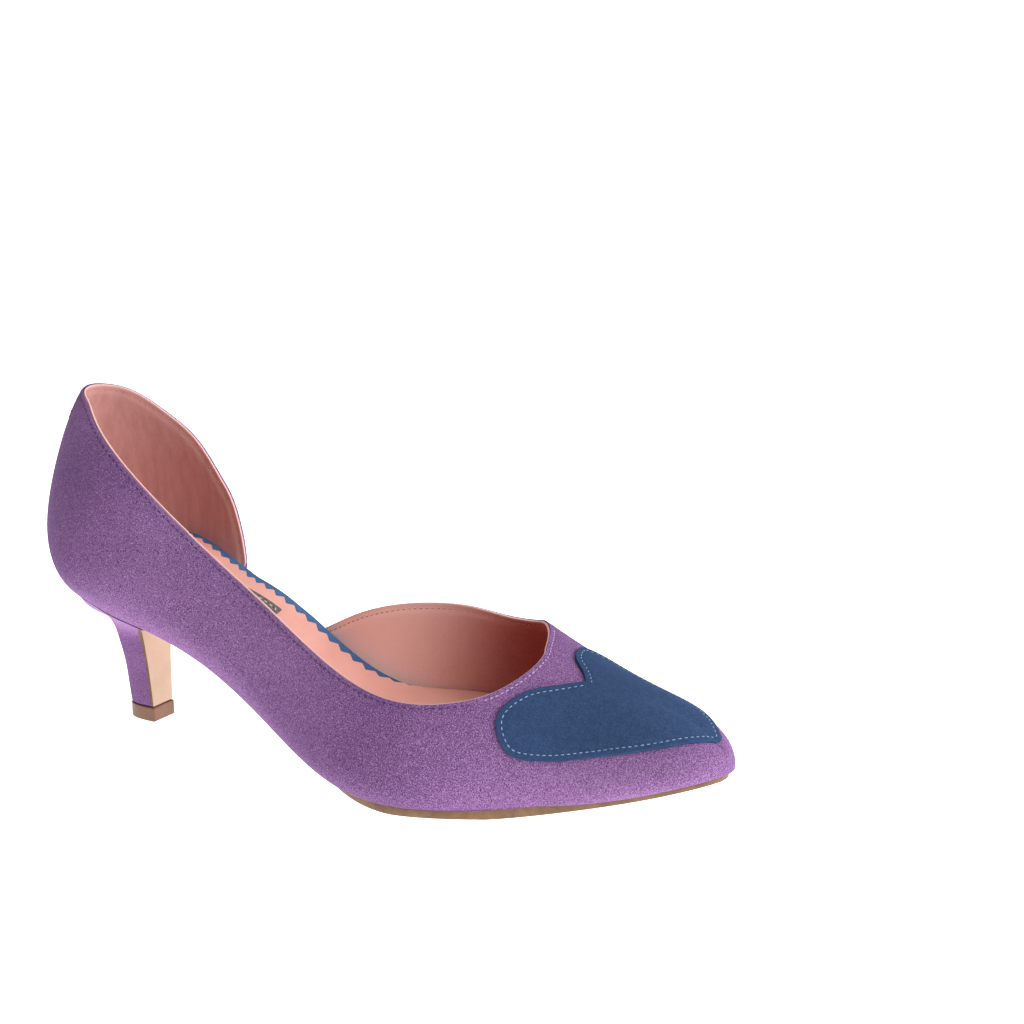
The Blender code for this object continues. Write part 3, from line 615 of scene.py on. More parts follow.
def spaced(path, pitch):  # points at an even pitch along a path
    run = runAlong(path)
    count = max(2, round(run[-1] / pitch) + 1)
    at = np.linspace(0.0, run[-1], count)
    return np.stack([np.interp(at, run, path[:, axis]) for axis in range(3)], axis=1)


def besideEdge(edge, normals, distance):  # a path in the surface, beside its edge
    ahead = unit(np.gradient(edge, axis=0))
    return edge + np.cross(ahead, normals) * distance


def nearest(path, places):  # distances from places to a path of points
    tree = KDTree(len(path))
    for i, point in enumerate(path):
        tree.insert(point, i)
    tree.balance()
    return np.array([tree.find(place)[2] for place in places])


def pressAlong(piece, path, depth, width):  # a soft groove where a seam pulls the surface in
    places = np.array([v.co[:] for v in piece.data.vertices])
    outs = np.array([v.normal[:] for v in piece.data.vertices])
    far = nearest(path, places)
    places -= outs * (depth / 1000 * np.exp(-(far * 1000 / width) ** 2))[:, None]
    piece.data.vertices.foreach_set("co", places.ravel())
    piece.data.update()


def stitchPlaces(surface, path, look, closed=False):  # an open row has no stitch at its two ends
    places = spaced(path, look["pitch"] / 1000)
    return settle(surface, places[:-1] if closed else places[1:-1])


def stitchShape():  # one stitch: a round-ended bead lying along x
    bpy.ops.object.select_all(action="DESELECT")
    bpy.ops.mesh.primitive_uv_sphere_add(segments=8, ring_count=6, radius=0.5)
    bead = bpy.context.object
    corners = np.array([v.co[:] for v in bead.data.vertices])[:, [2, 0, 1]]
    faces = np.array([list(p.vertices) + [p.vertices[0]] * (4 - len(p.vertices))
                      for p in bead.data.polygons])
    sides = [len(p.vertices) for p in bead.data.polygons]
    bpy.data.objects.remove(bead, do_unlink=True)
    blunt = 0.6  # below 1 its ends are squarer
    corners[:, 0] = np.sign(corners[:, 0]) * np.abs(2 * corners[:, 0]) ** blunt / 2
    return corners, faces, sides


def sewRow(name, path, outs, look, material, slotName):
    corners, faces, sides = stitchShape()
    ahead = unit(np.gradient(path, axis=0))
    side = unit(np.cross(outs, ahead))
    outs = np.cross(ahead, side)
    size = np.array([look["length"], look["width"], look["height"]]) / 1000
    bead = corners * size
    sunk = path + outs * look["rise"] / 1000
    places = (sunk[:, None] + bead[None, :, :1] * ahead[:, None]
              + bead[None, :, 1:2] * side[:, None] + bead[None, :, 2:] * outs[:, None])
    polygons = [[int(v) + len(corners) * k for v in face[:n]]
                for k in range(len(path)) for face, n in zip(faces, sides)]
    mesh = bpy.data.meshes.new(name)
    mesh.from_pydata(places.reshape(-1, 3).tolist(), [], polygons)
    piece = bpy.data.objects.new(name, mesh)
    bpy.context.scene.collection.objects.link(piece)
    pick(piece)
    editAll(facesOut)
    finishPiece(piece, material)


# Upper and lining

upperLook = {
    "pitch": 1.25, "toeColumns": 84, "rows": 26, "finePoints": 1600, "climbPoints": 140,
    "tipGap": 0.02, "tipCrowd": 1.6,  # how near the toe's columns come to the tip, and how crowded
    "suede": 1.15, "lining": 0.55, "liningGap": 0.05, "liningRise": 0.3,
    "edge": (0.18, 3, 60.0), "liningEdge": (0.2, 2, 60.0), "rimFade": (0.5, 1.0),
    "margin": (15.0, 9.0, 4.5, 2.0, 1.0, 0.4),  # lasting margin under the foot
    "marginAxis": (35.0, 213.0),  # stations between which it turns straight in
    "foldRounds": 3, "ridgeRounds": 12, "ridgeReach": 9.0,  # easing of the fold and of the toe's ridge
    "footRows": (0.0, 0.4, 0.9, 1.6, 2.6), "topRows": (0.0, 0.4, 0.9, 1.4, 1.9, 2.5, 3.3, 4.4),
    "shortWall": 16.0,  # where the wall is lower than this, those rows close up
    "liningFoot": 2.6, "liningLeast": 0.6,  # its foot over the feather line, or a share of a low wall
    "skive": {"share": 0.45, "width": 3.5},  # how thin the cut edge is, and over what width
    # name, station, spread, lift of the hem, height over which it fades
    "hem": [("over the sole's edge", 206.0, 26.0, -1.1, 7.0), ("heel cup", 24.0, 11.0, 1.6, 10.0)],
}
# grooves are depth and width
toplineStitch = {
    "pitch": 2.1, "length": 1.35, "width": 0.42, "height": 0.36, "rise": 0.0, "inset": 1.3,
    "groove": (0.14, 0.7),
}
# the topline's own thread, painted lighter where it is lit round the throat
throatStitch = {"pitch": 1.7, "length": 1.0, "width": 0.4, "height": 0.36, "rise": 0.02, "from": 173.0}
liningStitch = {
    "pitch": 1.9, "length": 1.1, "width": 0.32, "height": 0.3, "rise": 0.0, "inset": 1.3,
    "groove": (0.14, 0.5),
}


def columnsAlong(first, final):
    fine = np.linspace(first, final, upperLook["finePoints"])
    top = last.wall(fine, topAngle(fine))
    foot = last.wall(fine, np.full(len(fine), footAngle))
    steps = [np.linalg.norm(np.diff(line, axis=0), axis=1) for line in (top, foot)]
    done = np.append(0.0, np.cumsum(np.maximum(*steps) / upperLook["pitch"]))
    return np.interp(np.linspace(0.0, done[-1], round(done[-1]) + 1), done, fine)


def toeLeans():  # stations of the vamp's ridge, crowded towards the tip
    start = lastShape["throatLean"]
    end = min(last.rows(side)[:, 5].max() for side in (last.outerSide, last.innerSide))
    t = 1 - (1 - np.linspace(0.0, 1.0, upperLook["toeColumns"])) ** upperLook["tipCrowd"]
    return start + (end - upperLook["tipGap"] - start) * t


def climbRows(u, low, top):  # angles up each rib, with fine steps at its foot and its top
    count = upperLook["climbPoints"]
    fine = low[:, None] + (top - low)[:, None] * np.linspace(0.0, 1.0, count)
    line = last.wall(np.repeat(u[:, None], count, axis=1), fine)
    run = np.cumsum(np.linalg.norm(np.diff(line, axis=1), axis=2), axis=1)
    run = np.concatenate([np.zeros((len(u), 1)), run], axis=1)
    angles = []
    for far, turn in zip(run, fine):
        scale = min(1.0, far[-1] / upperLook["shortWall"])
        foot = np.array(upperLook["footRows"]) * scale
        head = far[-1] - np.array(upperLook["topRows"])[::-1] * scale
        middle = np.linspace(foot[-1], head[0], upperLook["rows"] + 2)[1:-1]
        angles.append(np.interp(np.concatenate([foot, middle, head]), far, turn))
    return np.array(angles)


def upperColumns():
    leans = toeLeans()
    counter = columnsAlong(gapStart, last.back)
    quarter = columnsAlong(last.back, throatOuter)
    vamp = columnsAlong(throatInner, gapEnd)
    toeOuter = last.find(-1, 5, leans)
    toeInner = last.find(1, 5, leans)[::-1]
    u = np.concatenate([counter[:-1], quarter[:-1], toeOuter, [last.tip], toeInner, vamp[1:]])
    first = len(counter) + len(quarter) - 2
    return u, leans, first


def joinRidge(wall, leans, first):  # both sides of the toe meet on the ridge, with no crease
    count = len(leans)
    outer = slice(first, first + count)
    inner = slice(first + count + 1, first + 2 * count + 1)
    middle = (wall[outer, -1] + wall[inner, -1][::-1]) / 2
    wall[outer, -1] = middle
    wall[inner, -1] = middle[::-1]
    across = np.concatenate([wall[outer], wall[inner][::-1, ::-1][:, 1:]], axis=1)
    ridge = across.shape[1] // 2
    away = np.abs(np.arange(across.shape[1]) - ridge)
    weight = smooth(1 - away / upperLook["ridgeReach"])[None, :, None]
    for _ in range(upperLook["ridgeRounds"]):
        eased = across.copy()
        eased[:, 1:-1] = (across[:, :-2] + across[:, 2:]) / 2
        across[..., 2:] += (eased - across)[..., 2:] * weight * easeShare
    wall[outer] = across[:, :ridge + 1]
    wall[inner] = across[:, ridge:][::-1, ::-1]
    return wall


def edgeShare(far):  # share of the full thickness at a distance from the cut edge
    skive = upperLook["skive"]
    return skive["share"] + (1 - skive["share"]) * smooth(far / skive["width"])


def hemLift(x, height):  # where the foot of the upper sits off the last's feather line
    lift = np.zeros(np.shape(x))
    for _, station, spread, amount, fade in upperLook["hem"]:
        lift += amount * np.exp(-((x - station) / spread) ** 2) * (1 - smooth(height / fade))
    return lift


def lastingMargin(foot):  # rows turned in under the foot
    axisX = np.clip(foot[:, 0], *upperLook["marginAxis"])
    outer = last.rows(last.find(-1, 0, axisX))[:, 1]
    inner = last.rows(last.find(1, 0, axisX))[:, 1]
    aim = unit(np.stack([axisX, (outer + inner) / 2], axis=1) - foot)
    rows = []
    for inset in upperLook["margin"]:
        place = foot + aim * inset
        rows.append(np.column_stack([place, last.floor(place[:, 0], place[:, 1])]))
    return np.stack(rows, axis=1)


def toplineEdge(out):  # the cut edge from the counter's foot round the mouth to the vamp's foot
    fine = np.concatenate([columnsAlong(gapStart, last.back)[:-1], columnsAlong(last.back, throatOuter),
                           columnsAlong(throatInner, gapEnd)[1:]])
    phi = topAngle(fine)
    normals = last.normals(fine, phi)
    return last.wall(fine, phi) + normals * out, normals


shadingPaint = {
    "stem": 0.04, "neck": 0.36,  # shifts on the heel: a small even one, and a painted highlight on the neck
    "neckHeights": (23.0, 33.0), "neckSides": (5.0, -7.0),  # where the painted highlight on the neck starts and is full
    "heart": (185.0, 225.0, 0.12),  # painted light on the heart: station where it starts to pale, station where it ends, shift
    # painted light and shade on the upper and tab: name, station, spread along the foot, height over the
    # feather line where it starts and ends, shift
    "patches": [
        ("heel back", 4.0, 26.0, (0.0, 16.0), -0.18), ("quarter top", 40.0, 30.0, (28.0, 40.0), -0.07),
        ("seat", 45.0, 45.0, (13.0, 3.0), 0.12), ("waist", 85.0, 26.0, (12.0, 3.0), 0.08),
        ("ball", 150.0, 24.0, (1.0, 9.0), -0.12), ("side", 122.0, 16.0, (14.0, 5.0), -0.05),
        ("toe", 212.0, 26.0, (18.0, 8.0), 0.1), ("tip", 240.0, 8.0, (18.0, 8.0), 0.04),
    ],
}


def paintShading(piece):  # painted light and shade: lighter along the foot and at the toe, darker at the back, the quarter's top and the ball
    places = placesOf(piece)
    height = places[:, 2] - alongTable(lastShape["feather"], places[:, 0])
    shift = np.zeros(len(places))
    for _, station, spread, (start, end), amount in shadingPaint["patches"]:
        near = np.exp(-((places[:, 0] - station) / spread) ** 2)
        shift += amount * near * within(height, start, end)
    markPoints(piece, "lay", shift)


def makeUpper():
    u, leans, first = upperColumns()
    top = topAngle(u)
    phi = climbRows(u, np.zeros(len(u)), top)
    wall = joinRidge(last.wall(np.repeat(u[:, None], phi.shape[1], axis=1), phi), leans, first)
    rows = np.concatenate([lastingMargin(wall[:, 0, :2]), wall], axis=1)
    rows[..., 2] += hemLift(rows[..., 0], rows[..., 2] - alongTable(lastShape["feather"], rows[..., 0]))
    corner = len(upperLook["margin"])
    for _ in range(upperLook["foldRounds"]):  # the fold round the feather line
        near = slice(corner - 2, corner + 4)
        eased = (rows[:, corner - 3:corner + 3] + rows[:, corner - 1:corner + 5]) / 2
        rows[:, near] += (eased - rows[:, near]) * easeShare
    piece = addSheet("suedeUpper", rows)
    edge, normals = toplineEdge(0.0)
    line = settle(surfaceOf(piece), toFrame(besideEdge(edge, normals, toplineStitch["inset"])))[0]
    pressAlong(piece, spaced(line, fineStep), *toplineStitch["groove"])
    surface = surfaceOf(piece)
    far = nearest(spaced(toFrame(edge), fineStep), [v.co for v in piece.data.vertices]) * 1000
    thicken(piece, upperLook["suede"], edgeShare(far))
    roundEdges(piece, *upperLook["edge"])
    paintShading(piece)
    finishPiece(piece, purpleSuede, "upper")
    front = toFrame((throatStitch["from"], 0.0, 0.0))[0]
    outer = np.argmax(line[:, 0] > front)
    inner = len(line) - np.argmax(line[::-1, 0] > front)
    # one thread, painted as a shaded copy behind the throat and a lit copy round it
    for name, look, thread, parts in (
            ("toplineStitches", toplineStitch, purpleThread, (line[:outer], line[inner:])),
            ("throatStitches", throatStitch, lilacThread, (line[outer:inner],))):
        row = np.vstack([spaced(part, look["pitch"] / 1000)[1:-1] for part in parts])
        sewRow(name, *settle(surface, row), look, thread, "purple_suede")


def markRim(piece, edge):  # 1 on the turned edge of the lining, fading below it
    far = nearest(edge, [v.co for v in piece.data.vertices]) * 1000
    markPoints(piece, "rim", 1 - within(far, *upperLook["rimFade"]))


def makeLining():
    u, leans, first = upperColumns()
    top = topAngle(u)
    foot = last.foot(u)[1] + upperLook["liningFoot"]
    low = np.minimum(last.angleAt(u, foot), top * upperLook["liningLeast"])
    phi = climbRows(u, low, top)
    across = np.repeat(u[:, None], phi.shape[1], axis=1)
    wall = last.wall(across, phi)
    far = nearest(spaced(toplineEdge(0.0)[0], fineStep * 1000), wall.reshape(-1, 3)).reshape(phi.shape)
    inset = upperLook["suede"] * edgeShare(far) + upperLook["liningGap"]
    outs = last.normals(across, phi)
    wall -= outs * inset[..., None]
    grip = (last.rows(u)[:, 0] < heelGrip["end"]).astype(float) * heelGrip["step"]
    wall -= outs * grip[:, None, None]
    wall = joinRidge(wall, leans, first)
    mouth = np.ones(len(u), bool)
    mouth[first + 1:first + 2 * len(leans)] = False
    normals = last.normals(u, top)[mouth]
    wall[mouth, -1] = besideEdge(wall[mouth, -1], normals, -upperLook["liningRise"])
    piece = addSheet("pinkLining", wall)
    outer, normals = toplineEdge(-upperLook["suede"] - upperLook["lining"])
    thicken(piece, upperLook["lining"])
    line = toFrame(besideEdge(outer, normals, liningStitch["inset"]))
    pressAlong(piece, settle(surfaceOf(piece), spaced(line, fineStep))[0], *liningStitch["groove"])
    row, outs = stitchPlaces(surfaceOf(piece), line, liningStitch)
    roundEdges(piece, *upperLook["liningEdge"])
    markRim(piece, toFrame(wall[mouth, -1]))
    finishPiece(piece, liningFinish())
    sewRow("liningStitches", row, outs, liningStitch, beigeThread, "sock_leather")


# Heart on the vamp and tab at the back

heartLook = {
    "centre": 205.0, "axis": ((195.6, -2.9), (239.0, 4.3)), "skew": 0.15, "skewEnd": (215.0, 230.0),
    "thickness": 1.15, "top": 1.1, "points": 90, "rings": 18, "ringCrowd": 1.3, "edge": (0.25, 2, 60.0),
    # name, station along the toe, distance off the middle line
    "lobe": [
        ("notch", 195.6, 0.0), ("cleft", 191.3, 4.6), ("crown", 185.8, 9.4), ("shoulder", 182.4, 14.6),
        ("lobe", 181.4, 19.6), ("corner", 184.6, 22.3), ("belly", 191.8, 21.7),
    ],
    "outerSide": [
        ("flank", 207.0, 18.8), ("taper", 222.7, 15.8), ("cheek", 229.8, 11.7), ("nib", 235.4, 5.6),
        ("point", 237.2, 0.0),
    ],
    "innerSide": [
        ("flank", 207.0, 17.8), ("taper", 221.0, 12.6), ("cheek", 230.5, 6.8), ("point", 237.2, 0.0),
    ],
}
heartStitch = {
    "pitch": 1.85, "length": 1.05, "width": 0.34, "height": 0.32, "rise": 0.02, "inset": 1.7,
    "groove": (0.22, 0.8),
}
tabLook = {
    "outer": 9.0, "inner": 15.0, "height": 8.5, "drop": 0.25, "thickness": 0.6, "edge": (0.25, 2, 60.0),
    "flush": 0.12, "ease": 8.0, "easeShift": 0.3,  # how it rises from the outer quarter
    "columns": 60, "rows": 18,
}
tabStitch = {"pitch": 2.6, "length": 1.5, "width": 0.45, "height": 0.36, "rise": 0.0, "inset": 1.8}


def heartPlan():  # round from the notch: outer lobe, point, inner lobe
    halves = []
    for side in ("outerSide", "innerSide"):
        half = np.array([row[1:] for row in heartLook["lobe"] + heartLook[side]])
        knots = runAlong(half)
        halves.append(spline(knots, half, np.linspace(0.0, knots[-1], heartLook["points"])))
    outer, inner = halves
    return np.concatenate([outer, inner[-2::-1] * (1.0, -1.0)])


def makeHeart():
    plan = heartPlan()
    (backX, backY), (pointX, pointY) = heartLook["axis"]
    rings = []
    for share in 1 - (1 - np.linspace(0.0, 1.0, heartLook["rings"])) ** heartLook["ringCrowd"]:
        x = heartLook["centre"] + (plan[:, 0] - heartLook["centre"]) * share
        y = backY + (x - backX) * (pointY - backY) / (pointX - backX) - plan[:, 1] * share
        skew = heartLook["skew"] * (1 - within(x, *heartLook["skewEnd"]))
        u, phi = last.over(x - skew * plan[:, 1] * share, y)
        rings.append(last.skin(u, phi, np.full(len(u), heartLook["top"])))
    rings = np.array(rings)
    piece = addSheet("heartPatch", rings.transpose(1, 0, 2)[::-1])
    surface = surfaceOf(piece)
    edge = toFrame(rings[-1][::-1])
    outs = settle(surface, edge)[1]
    line = besideEdge(edge, outs, heartStitch["inset"] / 1000)
    line = settle(surface, spaced(line, fineStep))[0]
    pressAlong(piece, line, *heartStitch["groove"])
    row, outs = stitchPlaces(surfaceOf(piece), line, heartStitch, closed=True)
    giveBody(piece, heartLook)
    # painted light: the heart darker at its back and paler towards its point
    back, front, paler = shadingPaint["heart"]
    markPoints(piece, "lay", paler * (within(placesOf(piece)[:, 0], back, front) - 0.5))
    finishPiece(piece, blueSuede, "heart_overlay")
    sewRow("heartStitches", row, outs, heartStitch, blueThread, "blue_suede")


def makeBackTab():
    u = np.linspace(last.back - tabLook["inner"], last.back + tabLook["outer"], tabLook["columns"])
    top = last.wall(u, topAngle(u))[:, 2] - tabLook["drop"]
    rows = []
    rise = smooth((last.back - u) / tabLook["ease"] + tabLook["easeShift"])
    out = tabLook["flush"] + (tabLook["thickness"] - tabLook["flush"]) * rise
    for share in np.linspace(0.0, 1.0, tabLook["rows"]):
        phi = last.angleAt(u, top - tabLook["height"] * (1 - share))
        rows.append(last.skin(u, phi, out))
    grid = np.array(rows).transpose(1, 0, 2)
    piece = addSheet("backTab", grid)
    line = grid[:, round(tabLook["rows"] * tabStitch["inset"] / tabLook["height"])]
    row, outs = stitchPlaces(surfaceOf(piece), toFrame(line), tabStitch)
    giveBody(piece, tabLook)
    paintShading(piece)
    finishPiece(piece, purpleSuede, "back_tab")
    sewRow("tabStitches", row, outs, tabStitch, purpleThread, "purple_suede")


# Insole, pinked sock and label

insoleLook = {
    "wall": 1.8, "gap": 0.35, "openEdge": 0.5, "end": 232.0, "thickness": 4.4, "edge": (0.9, 3, 50.0),
    "toeEase": 1.4, "toeStations": (195.0, 235.0),  # narrower towards the toe
    "openFade": (1.0, 8.0),  # how far past the ends of the open side the board comes out
    "heelMiddle": 28.0, "columns": 8, "step": 1.5,
    "outlinePoints": 1081, "climbEnd": 1.3, "climbPoints": 90,
}
sockSize = {
    "margin": 3.0, "tooth": 1.7, "pitch": 4.2, "lift": 0.75, "thickness": 0.7, "end": 218.0, "step": 0.5,
    "lost": 0.3, "closing": (104.0, 132.0),  # margin on the inner side under the vamp, and where it starts
}
labelLook = {
    "length": 46.0, "width": 14.0, "thickness": 0.6, "x": 53.5, "y": 4.0, "turn": -5.0, "lift": 1.35,
    "border": 1.3, "groove": (0.15, 0.7), "edge": (0.15, 2, 60.0), "columns": 60, "rows": 20,
}
labelStitch = {"pitch": 2.3, "length": 1.3, "width": 0.4, "height": 0.3, "rise": 0.02}


def footHeight(x, y):
    return last.floor(x, y) + alongTable(lastShape["footbed"], x)


def insideOutline():  # the floor of the upper at the insole's top, and the board's edge where open
    u = np.linspace(0.0, last.round, insoleLook["outlinePoints"])[:-1]
    toe = within(last.rows(u)[:, 0], *insoleLook["toeStations"])
    inset = insoleLook["wall"] + insoleLook["gap"] + insoleLook["toeEase"] * toe
    phi = np.linspace(footAngle, insoleLook["climbEnd"], insoleLook["climbPoints"])
    gridU, gridPhi = np.meshgrid(u, phi, indexing="ij")
    grid = last.skin(gridU, gridPhi, -np.repeat(inset[:, None], len(phi), axis=1))
    over = grid[..., 2] - footHeight(grid[..., 0], grid[..., 1])
    level = np.maximum.accumulate(over, axis=1)
    line = np.array([[np.interp(0.0, rise, row[:, axis]) for axis in (0, 1)]
                     for row, rise in zip(grid, level)])
    around = np.where(u > last.back, u, u + last.round)
    fade = insoleLook["openFade"]
    opened = within(around - gapEnd, *fade) * within(gapStart + last.round - around, *fade)
    board = shrink(last.rows(u)[:, :2], insoleLook["openEdge"])
    return line + (board - line) * opened[:, None]


def shrink(outline, inset):
    ahead = unit(np.roll(outline, -1, axis=0) - np.roll(outline, 1, axis=0))
    return outline + np.stack([-ahead[:, 1], ahead[:, 0]], axis=1) * inset


def twoSides(outline):  # outer and inner edge, each from the back to the tip
    outline = np.roll(outline, -np.argmin(outline[:, 0]), axis=0)
    tip = np.argmax(outline[:, 0])
    return outline[:tip + 1], np.vstack([outline[tip:], outline[:1]])[::-1]


def sideWidths(sides, stations):
    return [np.interp(stations, np.maximum.accumulate(side[:, 0]), side[:, 1]) for side in sides]


def footSheet(name, outline, end, step, inset):  # a fan round the heel that goes on in straight rows
    middleX = insoleLook["heelMiddle"]
    sides = twoSides(outline)
    stations = np.arange(middleX, end, step)
    halves = []
    edgeY = sideWidths(sides, stations)
    middle = (edgeY[0] + edgeY[1]) / 2
    for side, y, inward in zip(sides, edgeY, (1.0, -1.0)):
        heel = side[side[:, 0] < middleX]
        run = runAlong(heel)
        at = np.linspace(0.0, run[-1], round(run[-1] / step) + 1)[:-1]
        arc = np.stack([np.interp(at, run, heel[:, axis]) for axis in (0, 1)], axis=1)
        centre = np.array([middleX, middle[0]])
        arc = arc + unit(centre - arc) * inset(at, arc[:, 0], inward)[:, None]
        straight = y + inward * inset(run[-1] + stations - middleX, stations, inward)
        straight = np.column_stack([stations, straight])
        rim = np.vstack([arc, straight])
        spine = np.vstack([np.tile(centre, (len(arc), 1)), np.column_stack([stations, middle])])
        share = np.linspace(0.0, 1.0, insoleLook["columns"])[None, :, None]
        halves.append(spine[:, None] + (rim - spine)[:, None] * share)
    sheets = []
    for half, order in zip(halves, (-1, 1)):
        grid = np.concatenate([half, footHeight(half[..., 0], half[..., 1])[..., None]], axis=-1)
        sheets.append(addSheet(name, grid[:, ::order]))
    pick(*sheets)
    bpy.ops.object.join()
    editAll(mergeClose, facesOut)
    piece = sheets[0]
    piece.name = name
    return piece


def raiseSheet(piece, millimetres):
    pick(piece)
    editAll(lambda: bpy.ops.transform.translate(value=(0.0, 0.0, millimetres / 1000)))


def faceUp(piece):  # an open sheet whose faces look down is turned over
    if np.mean([p.normal.z for p in piece.data.polygons]) < 0:
        pick(piece)
        editAll(bpy.ops.mesh.flip_normals)


def plainEdge(run, station, inward):
    return np.zeros(len(run))


def makeInsole(outline):
    piece = footSheet("insoleBoard", outline, insoleLook["end"], insoleLook["step"], plainEdge)
    faceUp(piece)
    giveBody(piece, insoleLook)
    finishPiece(piece, suedeFinish("insoleSuede", insoleBlue), "insole")


def pinking(run, station, inward):  # distance in from the insole's edge: a row of teeth
    t = np.abs(np.mod(run / sockSize["pitch"], 1.0) * 2 - 1)
    teeth = sockSize["margin"] + sockSize["tooth"] * t
    closing = within(station, *sockSize["closing"]) if inward < 0 else 0.0
    return teeth + (sockSize["lost"] - teeth) * closing


def makeSock(outline):
    piece = footSheet("pinkedSock", outline, sockSize["end"], sockSize["step"], pinking)
    faceUp(piece)
    raiseSheet(piece, sockSize["lift"])
    thicken(piece, sockSize["thickness"])
    finishPiece(piece, sockLeather, "sock")


def turnLabel(x, y):
    turn = math.radians(labelLook["turn"])
    return (labelLook["x"] + x * math.cos(turn) - y * math.sin(turn),
            labelLook["y"] + x * math.sin(turn) + y * math.cos(turn))


def makeLabel():
    length, width = labelLook["length"], labelLook["width"]
    x, y = np.meshgrid(np.linspace(-length / 2, length / 2, labelLook["columns"]),
                       np.linspace(-width / 2, width / 2, labelLook["rows"]), indexing="ij")
    edge = np.minimum(length / 2 - np.abs(x), width / 2 - np.abs(y))
    x, y = turnLabel(x, y)
    deep, wide = labelLook["groove"]
    z = footHeight(x, y) + labelLook["lift"] - deep * np.exp(-((edge - labelLook["border"]) / wide) ** 2)
    piece = addSheet("bareLabel", np.stack([x, y, z], axis=-1))
    faceUp(piece)
    along = length / 2 - labelLook["border"]
    side = width / 2 - labelLook["border"]
    corners = np.array([(-along, -side), (along, -side), (along, side), (-along, side), (-along, -side)])
    sides = [np.linspace(a, b, labelLook["columns"])[:-1] for a, b in zip(corners, corners[1:])]
    fine = np.vstack(sides + [corners[-1:]])
    x, y = turnLabel(*fine.T)
    fine = np.column_stack([x, y, footHeight(x, y) + labelLook["lift"]])
    row, outs = stitchPlaces(surfaceOf(piece), toFrame(fine), labelStitch, closed=True)
    giveBody(piece, labelLook)
    finishPiece(piece, clothFinish(), "label")
    sewRow("labelStitches", row, outs, labelStitch, creamThread, "label_cloth")


# Sole, heel and top lift

soleSize = {
    "thickness": 2.5, "flap": 1.6, "bend": 5.0, "gap": 0.05, "stations": 150, "columns": 17,
    "edge": (0.3, 2, 50.0), "tipGap": 0.12, "under": 0.25,
    "thickens": (90.0, 130.0), "thins": (190.0, 240.0),  # stations between waist, tread and tip
    "breastGap": 0.3, "glue": 0.1, "flapHalf": 9.0, "flapGap": 0.15,  # the flap against the heel
    "bendTurns": (4, 86, 16), "flapRows": 26,
    "forepart": 150.0, "stain": {"steep": 0.75, "side": 0.6, "flat": 0.8},  # which faces are brown
    # name, x, inset of the outer edge, inset of the inner edge
    "inset": [
        ("breast", 42.0, 14.5, 13.0), ("shank", 62.0, 13.5, 9.0), ("waist", 95.0, 10.0, 6.5),
        ("joint", 125.0, 4.5, 3.5), ("tread", 150.0, 1.0, 0.6), ("toe", 215.0, 0.5, 0.5),
        ("tip", 246.0, 2.2, 2.2),
    ],
}
heelLook = {
    "gap": 0.05, "cover": 0.9, "points": 66, "across": 14, "rings": 60, "edge": (0.3, 2, 55.0),
    "backBow": 0.75, "sideBow": 0.9,  # below 1 the section is squarer than an ellipse
    # a dark cord standing in for the shadow in the joint of heel and upper
    "seam": {"radius": 0.16, "thin": 0.04, "fade": (24.0, 38.0), "end": 50.0, "turns": 9, "points": 160},
    # name, z, back, front, half the width, middle
    "slices": [
        ("cup", 36.2, 13.0, 33.5, 15.6, -0.4), ("neck", 33.6, 16.7, 33.6, 11.2, -0.8),
        ("upper stem", 30.0, 19.8, 33.9, 7.9, -1.2), ("stem", 25.0, 22.0, 34.3, 6.8, -1.6),
        ("lower stem", 18.0, 24.2, 34.9, 5.9, -2.0), ("ankle", 11.0, 25.3, 35.4, 5.4, -2.2),
        ("foot", 5.0, 26.2, 35.8, 5.0, -2.4),
    ],
}
liftSize = {"height": 4.7, "overhang": 0.2, "rows": 6, "edge": (0.35, 3, 50.0)}


def heelRing(back, front, half, middle, z):  # round at the back and sides, straight in front
    turn = np.linspace(-math.pi / 2, math.pi / 2, heelLook["points"])
    x = front - (front - back) * np.maximum(np.cos(turn), 0.0) ** heelLook["backBow"]
    y = middle + half * np.sign(np.sin(turn)) * np.abs(np.sin(turn)) ** heelLook["sideBow"]
    cross = np.linspace(y[-1], y[0], heelLook["across"] + 2)[1:-1]
    ring = np.stack([np.append(x, np.full(len(cross), front)), np.append(y, cross)], axis=1)
    return np.column_stack([ring, np.full(len(ring), z)])


def seatRing(front):  # the feather line round the seat, closed across the breast
    outer = last.find(-1, 0, front)
    inner = last.find(1, 0, front) - last.round
    rim = last.rows(np.linspace(outer, inner, heelLook["points"]))[:, :2]
    rim[[0, -1], 0] = front
    cross = np.linspace(rim[-1], rim[0], heelLook["across"] + 2)[1:-1]
    ring = np.vstack([rim, cross])
    lift = hemLift(ring[:, 0], 0.0)
    return np.column_stack([ring, last.floor(ring[:, 0], ring[:, 1]) + lift - heelLook["gap"]])


def makeHeel():
    slices = heelLook["slices"]
    cover = heelLook["cover"]  # the suede is lapped over the edges of the sole's flap
    rings = [heelRing(back, front + cover, half, middle, z) for _, z, back, front, half, middle in slices]
    rings = np.array([seatRing(slices[0][3] + cover), *rings])
    knots = np.append(0.0, np.cumsum(np.abs(np.diff(rings[:, :, 2].mean(axis=1)))))
    at = np.linspace(0.0, knots[-1], heelLook["rings"])
    flat = spline(knots, rings.reshape(len(rings), -1), at)
    piece = addLoft("coveredHeel", flat.reshape(len(at), -1, 3))
    roundEdges(piece, *heelLook["edge"])
    places = placesOf(piece)
    # painted highlight on the outer side of the heel's neck, over a small even shift on the whole heel
    litNeck = within(places[:, 2], *shadingPaint["neckHeights"]) * within(places[:, 1], *shadingPaint["neckSides"])
    markPoints(piece, "lay", shadingPaint["stem"] + shadingPaint["neck"] * litNeck)
    finishPiece(piece, heelSuede, "heel", crispAngle)


